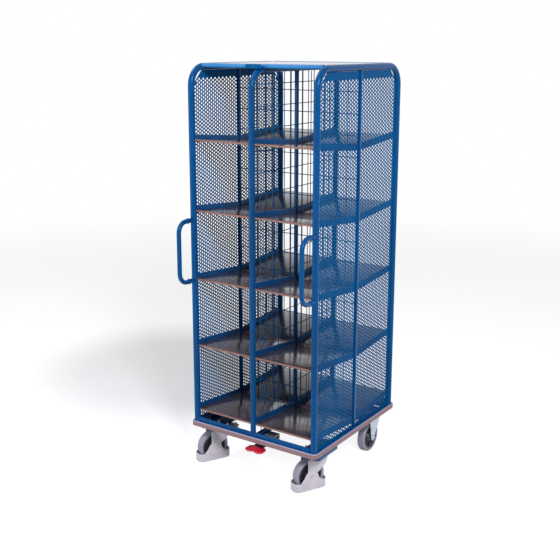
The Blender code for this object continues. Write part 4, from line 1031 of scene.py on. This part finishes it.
# %% Swivel plates with their races
PLATE_LOW = 0.19168
RACE = [
    (0.0, 0.0285), (0.0, 0.0330), (0.0020, 0.0356), (0.0095, 0.0360), (0.0110, 0.0372), (0.0150, 0.0376),
    (0.0190, 0.0388), (0.0236, 0.0410), (0.0240, 0.0285),
]
for side, sign in SIDES:
    x = sign * CASTER_X
    plan = rounded_rectangle(0.0525, 0.0675, 0.010, PLATE_LOW, 5)
    shape, verts = prism(moved(plan, x, -CASTER_Y), (0, 0, 0.005))
    ease(shape, verts, 0.0007)
    stand = Matrix.Translation((x, -CASTER_Y, PLATE_LOW - 0.0235)) @ Matrix.Rotation(-math.pi / 2, 4, "Y")
    lathe(RACE, 48, shape, stand)
    for place in bolt_places(x, -CASTER_Y, BOLT_X):
        add_bolt(shape, (*place, PLATE_LOW), (0, 0, -1), 0.0072, 0.0052)
    finish_piece(shape, f"race_plate_{side}", ZINC, [f"swivel_plate_{side}"])


# %% Moulded forks
def merged_copy(node):
    """A CAD node's mesh with its loose triangles merged, as a new mesh."""
    shape = bmesh.new()
    shape.from_mesh(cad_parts[node].data)
    bmesh.ops.remove_doubles(shape, verts=shape.verts, dist=1e-5)
    bmesh.ops.dissolve_limit(shape, angle_limit=math.radians(1.0), verts=shape.verts, edges=shape.edges)
    return mesh_of(shape, node + " merged")


def baked(mesh, modifiers):
    """The mesh with modifiers applied, each given as its type and settings."""
    holder = add_object("holder", mesh)
    for kind, settings in modifiers:
        set_all(holder.modifiers.new(kind, kind), **settings)
    graph = bpy.context.evaluated_depsgraph_get()
    result = bpy.data.meshes.new_from_object(holder.evaluated_get(graph))
    bpy.data.objects.remove(holder)
    return result


SOFTEN = [
    ("REMESH", {"mode": "VOXEL", "voxel_size": 0.0014}),
    ("SMOOTH", {"factor": 0.5, "iterations": 5}),
    ("DECIMATE", {"ratio": 0.45}),
]
for side, _ in SIDES:
    node = f"swivel_fork_{side}"
    soft = baked(merged_copy(node), SOFTEN)
    place_mesh(soft, f"moulded_fork_{side}", FORK_GREY, [node], f"swivel_{side}", 60.0)

# %% [markdown]
# ## Fixed casters
#
# The rear forks are pressed from one zinc-plated sheet: a plate with two tapering legs that end round under the
# axle. The copy of the CAD fork only needs its edges eased by a live Bevel, and bolts through its plate.

# %% Pressed forks
for side, sign in SIDES:
    node = f"fixed_fork_{side}"
    add_bevel(place_mesh(merged_copy(node), f"pressed_fork_{side}", ZINC, [node]), 0.0009)
    shape = bmesh.new()
    for place in bolt_places(sign * CASTER_X, CASTER_Y + FIXED_SHIFT, FIXED_BOLT_X):
        add_bolt(shape, (*place, PLATE_LOW), (0, 0, -1), 0.0072, 0.0052)
    finish_piece(shape, f"fixed_fork_bolts_{side}", ZINC)

# %% [markdown]
# ## Wheels
#
# A wheel is turned work: a profile spun about the axle. The tyre has full round shoulders and a faint mould line
# in its middle. The centre is a dark moulding with a boss, a dished web and ribs between boss and rim. The ribs
# are thin blocks, each turned about the axle to its place.

# %% Tyre, centre and axle bolt
AXLE_HEIGHT = 0.07878
WHEEL_RADIUS = AXLE_HEIGHT - 0.0001
SHOULDER = 0.009
RIBS = 10


def tyre_shape():
    right = [(0.0, WHEEL_RADIUS), (0.0008, WHEEL_RADIUS)]
    for step in range(9):
        angle = math.radians(90 * step / 8)
        right.append((0.011 + SHOULDER * math.sin(angle), WHEEL_RADIUS - SHOULDER + SHOULDER * math.cos(angle)))
    right += [
        (0.0200, 0.0668), (0.0192, 0.0655), (0.0192, 0.0648), (0.0200, 0.0638), (0.0195, 0.0628), (0.0170, 0.0625),
    ]
    left = [(-x, radius) for x, radius in reversed(right[1:])]
    return lathe(left + right, 64)


def centre_shape():
    right = [
        (0.0280, 0.0063), (0.0280, 0.0120), (0.0270, 0.0135), (0.0200, 0.0150), (0.0160, 0.0200), (0.0070, 0.0250),
        (0.0060, 0.0480), (0.0100, 0.0530), (0.0150, 0.0545), (0.0168, 0.0560), (0.0170, 0.0620),
    ]
    shape = lathe(right + [(-x, radius) for x, radius in reversed(right)], 64)
    for index in range(RIBS):
        turn = Matrix.Rotation(2 * math.pi * index / RIBS, 4, "X")
        for way in (-1, 1):
            near, far = span(way, 0.0050, 0.0138)
            old = set(shape.verts)
            block((near, -0.0016, 0.0190), (far, 0.0016, 0.0535), 0.0006, shape)
            bmesh.ops.transform(shape, matrix=turn, verts=new_verts(shape, old))
    return shape


def bolt_shape(seat):
    shape = rod((-seat - 0.0045, 0, 0), (seat + 0.0058, 0, 0), 0.006, 20)
    add_bolt(shape, (-seat - 0.0003, 0, 0), (-1, 0, 0), 0.0105, 0.0048, 0.0118)
    add_bolt(shape, (seat + 0.0003, 0, 0), (1, 0, 0), 0.0095, 0.0044, 0.0112)
    return shape


# %% Four wheels in place
SWIVEL_TURN = math.radians(-26.0)
TRAIL = 0.048
LEG_OUT, FIXED_OUT = 0.039, 0.033
trail = Matrix.Rotation(SWIVEL_TURN, 3, "Z") @ Vector((0, -TRAIL, 0))
for side, sign in SIDES:
    front = Matrix.Translation((sign * CASTER_X + trail.x, -CASTER_Y + trail.y, AXLE_HEIGHT))
    front = front @ Matrix.Rotation(SWIVEL_TURN, 4, "Z")
    rear = Matrix.Translation((sign * CASTER_X, CASTER_Y, AXLE_HEIGHT))
    for end, matrix, seat, carrier, bolt_finish in (
        ("front", front, LEG_OUT, f"swivel_{side}", DULL_ZINC), ("rear", rear, FIXED_OUT, "frame", ZINC),
    ):
        name = f"{end}_{side}"
        for shape, piece, finish, node, body in (
            (tyre_shape(), "tread", RUBBER, "tyre", f"roller_{name}"),
            (centre_shape(), "hub", HUB_BLACK, "wheel", f"roller_{name}"),
            (bolt_shape(seat), "axle_bolt", bolt_finish, "axle", carrier),
        ):
            carry(shape, matrix)
            finish_piece(shape, f"{piece}_{name}", finish, [f"{node}_{name}"], body)

# %% [markdown]
# ## Central brake
#
# One hexagon bar runs through both swivel races, held by a bracket and a bearing with round eyes. A pedal on a
# flat ribbed arm turns it through a hub, and a small eccentric at each end pushes a pin down through the swivel
# onto the tyre. Only the pins are copies from the CAD, with eased edges. The arm is painted black, and the pedal
# is a red moulding whose wavy front edge grips the shoe.

# %% Shaft, arm, bracket and pins
SHAFT_HEIGHT = 0.18118
SHAFT_END = CASTER_X + 0.007
PEDAL_X = 0.034
ARM_LOW, ARM_HIGH = PEDAL_X - 0.036, PEDAL_X + 0.022
EAR = 0.003


def at_shaft(x, y, z):
    """A point measured from the shaft's axis, in the trolley's own coordinates."""
    return (x, y - CASTER_Y, z + SHAFT_HEIGHT)


def hang_eye(shape, x, top, radius):
    """Adds a plate that hangs from the height top and ends in a round eye for the shaft."""
    eye = [(x, 0.0068), (x, radius), (x + EAR, radius), (x + EAR, 0.0068)]
    lathe(eye, 40, shape, Matrix.Translation(at_shaft(0, 0, 0)))
    block(at_shaft(x, -radius, 0.0080), (x + EAR, -CASTER_Y + radius, top), 0.0006, shape)


shape = rod(at_shaft(-SHAFT_END, 0, 0), at_shaft(SHAFT_END, 0, 0), 0.006, 6)
for sign in (-1, 1):
    x = sign * CASTER_X
    rod(at_shaft(x - 0.007, -0.0035, 0), at_shaft(x + 0.007, -0.0035, 0), 0.0065, 24, shape)
finish_piece(shape, "hex_shaft", ZINC, ["brake_shaft"], "brake_bar")

hub = [
    (ARM_LOW, 0.0062), (ARM_LOW, 0.0200), (ARM_LOW + 0.0030, 0.0232), (ARM_HIGH - 0.0030, 0.0232),
    (ARM_HIGH, 0.0200), (ARM_HIGH, 0.0062),
]
shape = lathe(hub, 40, matrix=Matrix.Translation(at_shaft(0, 0, 0)))
finish_piece(shape, "pedal_hub", DULL_ZINC, body="brake_bar")

shape = block(at_shaft(ARM_LOW + 0.001, -0.130, -0.0025), at_shaft(ARM_HIGH - 0.001, -0.018, 0.0025), 0.0008)
for x in (ARM_LOW + 0.006, (ARM_LOW + ARM_HIGH) / 2, ARM_HIGH - 0.006):
    rib = [(-0.120, 0.001), (-0.016, 0.001), (-0.016, 0.014), (-0.060, 0.0055)]
    shape, verts = prism([at_shaft(x - 0.0015, y, z) for y, z in rib], (0.003, 0, 0), shape)
    ease(shape, verts, 0.0006)
finish_piece(shape, "pedal_arm", HUB_BLACK, body="brake_bar")

low = (ARM_LOW - 0.0045, -CASTER_Y - 0.021, RING_LOW - 0.003)
high = (ARM_HIGH + 0.0045, -CASTER_Y + 0.021, RING_LOW - 0.0001)
shape = block(low, high, 0.0008)
for x in (ARM_LOW - 0.0045, ARM_HIGH + 0.0015):
    hang_eye(shape, x, RING_LOW - 0.001, 0.021)
finish_piece(shape, "pedal_bracket", DULL_ZINC)

low = (-0.248, -CASTER_Y - 0.026, CASTER_HEIGHT - 0.0035)
high = (-0.188, -CASTER_Y + 0.022, CASTER_HEIGHT - 0.0003)
shape = block(low, high, 0.0008)
hang_eye(shape, high[0] - EAR, CASTER_HEIGHT - 0.002, 0.014)
for x, y in ((-0.233, -0.268), (-0.203, -0.238)):
    add_bolt(shape, (x, y, CASTER_HEIGHT - 0.0003), (0, 0, 1), 0.0075, 0.0065, tail=0.004)
finish_piece(shape, "shaft_bearing", DULL_ZINC)

for side, _ in SIDES:
    node = f"brake_plunger_{side}"
    add_bevel(place_mesh(merged_copy(node), f"brake_pin_{side}", ZINC, [node], f"plunger_{side}"), 0.0005)


# %% Wavy pedal
def pedal_outline():
    """The tread from above: a straight back, round ends and two lobes along the front."""
    steps = 48
    half, back, front, corner, lobe = 0.049, -0.118, -0.164, 0.012, 0.012
    points = [(-half + corner, back), (-half, back - corner)]
    for step in range(steps + 1):
        share = step / steps
        points.append((-half + 2 * half * share, front - lobe * abs(math.sin(2 * math.pi * share)) ** 0.6))
    return points + [(half, back - corner), (half - corner, back)]


shape, verts = prism([at_shaft(PEDAL_X + x, y, -0.0045) for x, y in pedal_outline()], (0, 0, 0.009))
ease(shape, shape.verts, 0.002, 3)
for index in range(5):
    y = -0.138 - 0.006 * index
    block(
        at_shaft(PEDAL_X - 0.038, y - 0.0012, 0.003), at_shaft(PEDAL_X + 0.038, y + 0.0012, 0.0052), 0.0006, shape
    )
finish_piece(shape, "pedal_tread", RED, ["brake_pedal"], "brake_bar")

# %% [markdown]
# ## Floor, light and camera
#
# The floor is pale and keeps the trolley's shadow. For the camera, mirrors and clear glass it also glows a
# little, so that its lit part is white without more light on the object, and far away it fades to plain white.
# The glow is weaker in a patch beside the trolley, which is a painted shadow, and stronger under the trolley, which
# is painted light over its shade. A soft box stands at the right of the camera, a fill at the left, one overhead and
# a narrow one at the right edge, and the world adds an even level.

# %% Floor
FLOOR_GLOW, GLOW_ASIDE, PAINTED_LIGHT_UNDER = 0.40, 0.25, 0.20
PAINTED_SHADOW_PLACE = (-1.35, 0.65, 0)
UNDER_PLACE = (0.2, -0.25, 0)


def make_floor_material():
    finish = Finish("pale floor", Roughness=0.9, Specular_IOR_Level=0.1)
    colour = finish.blend(finish.noise(1.5, 3.0), paint(202, 202, 206), paint(212, 212, 215))
    finish.feed(finish.shader.inputs["Base Color"], colour)
    # Painted shadow: the glow drops in a patch round the shadow's place beside the trolley.
    aside = finish.between(finish.measure("DISTANCE", finish.place, PAINTED_SHADOW_PLACE), 0.45, 1.15)
    # Painted light: the glow rises under and in front of the trolley, over its shade.
    below = finish.between(finish.measure("DISTANCE", finish.place, UNDER_PLACE), 0.5, 1.1)
    glow = finish.seen() * (FLOOR_GLOW + GLOW_ASIDE * aside + PAINTED_LIGHT_UNDER * (1 - below))
    lamp = finish.node("ShaderNodeEmission", None, {"Color": glow, "Strength": 1.0})
    lit = finish.node("ShaderNodeAddShader", None, {0: finish.output_of(finish.shader), 1: lamp})
    white = finish.node("ShaderNodeEmission", None, {"Color": WHITE, "Strength": 1.0})
    far = finish.between(finish.measure("DISTANCE", finish.place, (0, 0, 0)), 3.8, 7.5)
    both = finish.node("ShaderNodeMixShader", None, {0: far, 1: lit, 2: white})
    finish.feed(finish.tree.nodes["Material Output"].inputs["Surface"], both)
    return finish.material


shape = bmesh.new()
bmesh.ops.create_grid(shape, x_segments=1, y_segments=1, size=60.0)
mesh = mesh_of(shape, "floor")
mesh.materials.append(make_floor_material())
floor = add_object("floor", mesh)
print("floor", tuple(floor.dimensions))

# %% World
world = bpy.data.worlds.new("studio")
bpy.context.scene.world = world
world.use_nodes = True
studio = NodeTree(world.node_tree)
even = studio.tree.nodes["Background"]
studio.feed(even.inputs["Color"], (0.96, 0.98, 1.0, 1.0))
studio.feed(even.inputs["Strength"], 0.22)
white = studio.node("ShaderNodeBackground", None, {"Color": WHITE, "Strength": 1.0})
both = studio.node("ShaderNodeMixShader", None, {0: studio.seen(), 1: studio.output_of(even), 2: white})
studio.feed(studio.tree.nodes["World Output"].inputs["Surface"], both)
print("world nodes", len(studio.tree.nodes))


# %% Soft boxes
def soft_box(name, place, size, level):
    """An area lamp. level is about how bright it makes a white surface that faces it at the target."""
    away = Vector(place) - TARGET
    lamp = bpy.data.lights.new(name, "AREA")
    set_all(lamp, shape="RECTANGLE", size=size[0], size_y=size[1], energy=level * (math.pi * away.length) ** 2)
    set_all(add_object(name, lamp), location=place, rotation_euler=away.to_track_quat("Z", "Y").to_euler())
    print(name, "soft box", round(away.length, 2), "m away")


TARGET = Vector((0, 0, 1.0))
soft_box("key", (3.9, -3.5, 4.7), (1.1, 1.4), 0.72)
soft_box("fill", (-2.8, -4.2, 2.2), (1.2, 3.4), 0.26)
soft_box("overhead", (-2.0, -0.9, 5.2), (1.8, 1.8), 0.18)
soft_box("edge", (4.6, -1.3, 2.3), (0.4, 2.6), 0.08)

# %% Camera
CAMERA_PLACE = (2.4289, -3.6625, 2.0850)
SHIFT_PIXELS, WIDTH_PIXELS = -22, 560
yaw, pitch, roll = 0.5969, 0.2307, 0.0012
back = Vector((math.sin(yaw) * math.cos(pitch), -math.cos(yaw) * math.cos(pitch), math.sin(pitch)))
right = Vector((math.cos(yaw), math.sin(yaw), 0))
aim = Matrix((right, back.cross(right), back)).transposed() @ Matrix.Rotation(roll, 3, "Z")
lens = bpy.data.cameras.new("camera")
set_all(lens, sensor_width=36.0, lens=59.13, shift_y=SHIFT_PIXELS / WIDTH_PIXELS, clip_end=200.0)
camera = add_object("camera", lens)
camera.matrix_world = Matrix.Translation(CAMERA_PLACE) @ aim.to_4x4()
bpy.context.scene.camera = camera
bpy.context.scene.view_settings.view_transform = "Standard"
print("camera", round(Vector(CAMERA_PLACE).length, 2), "m from the middle of the floor")
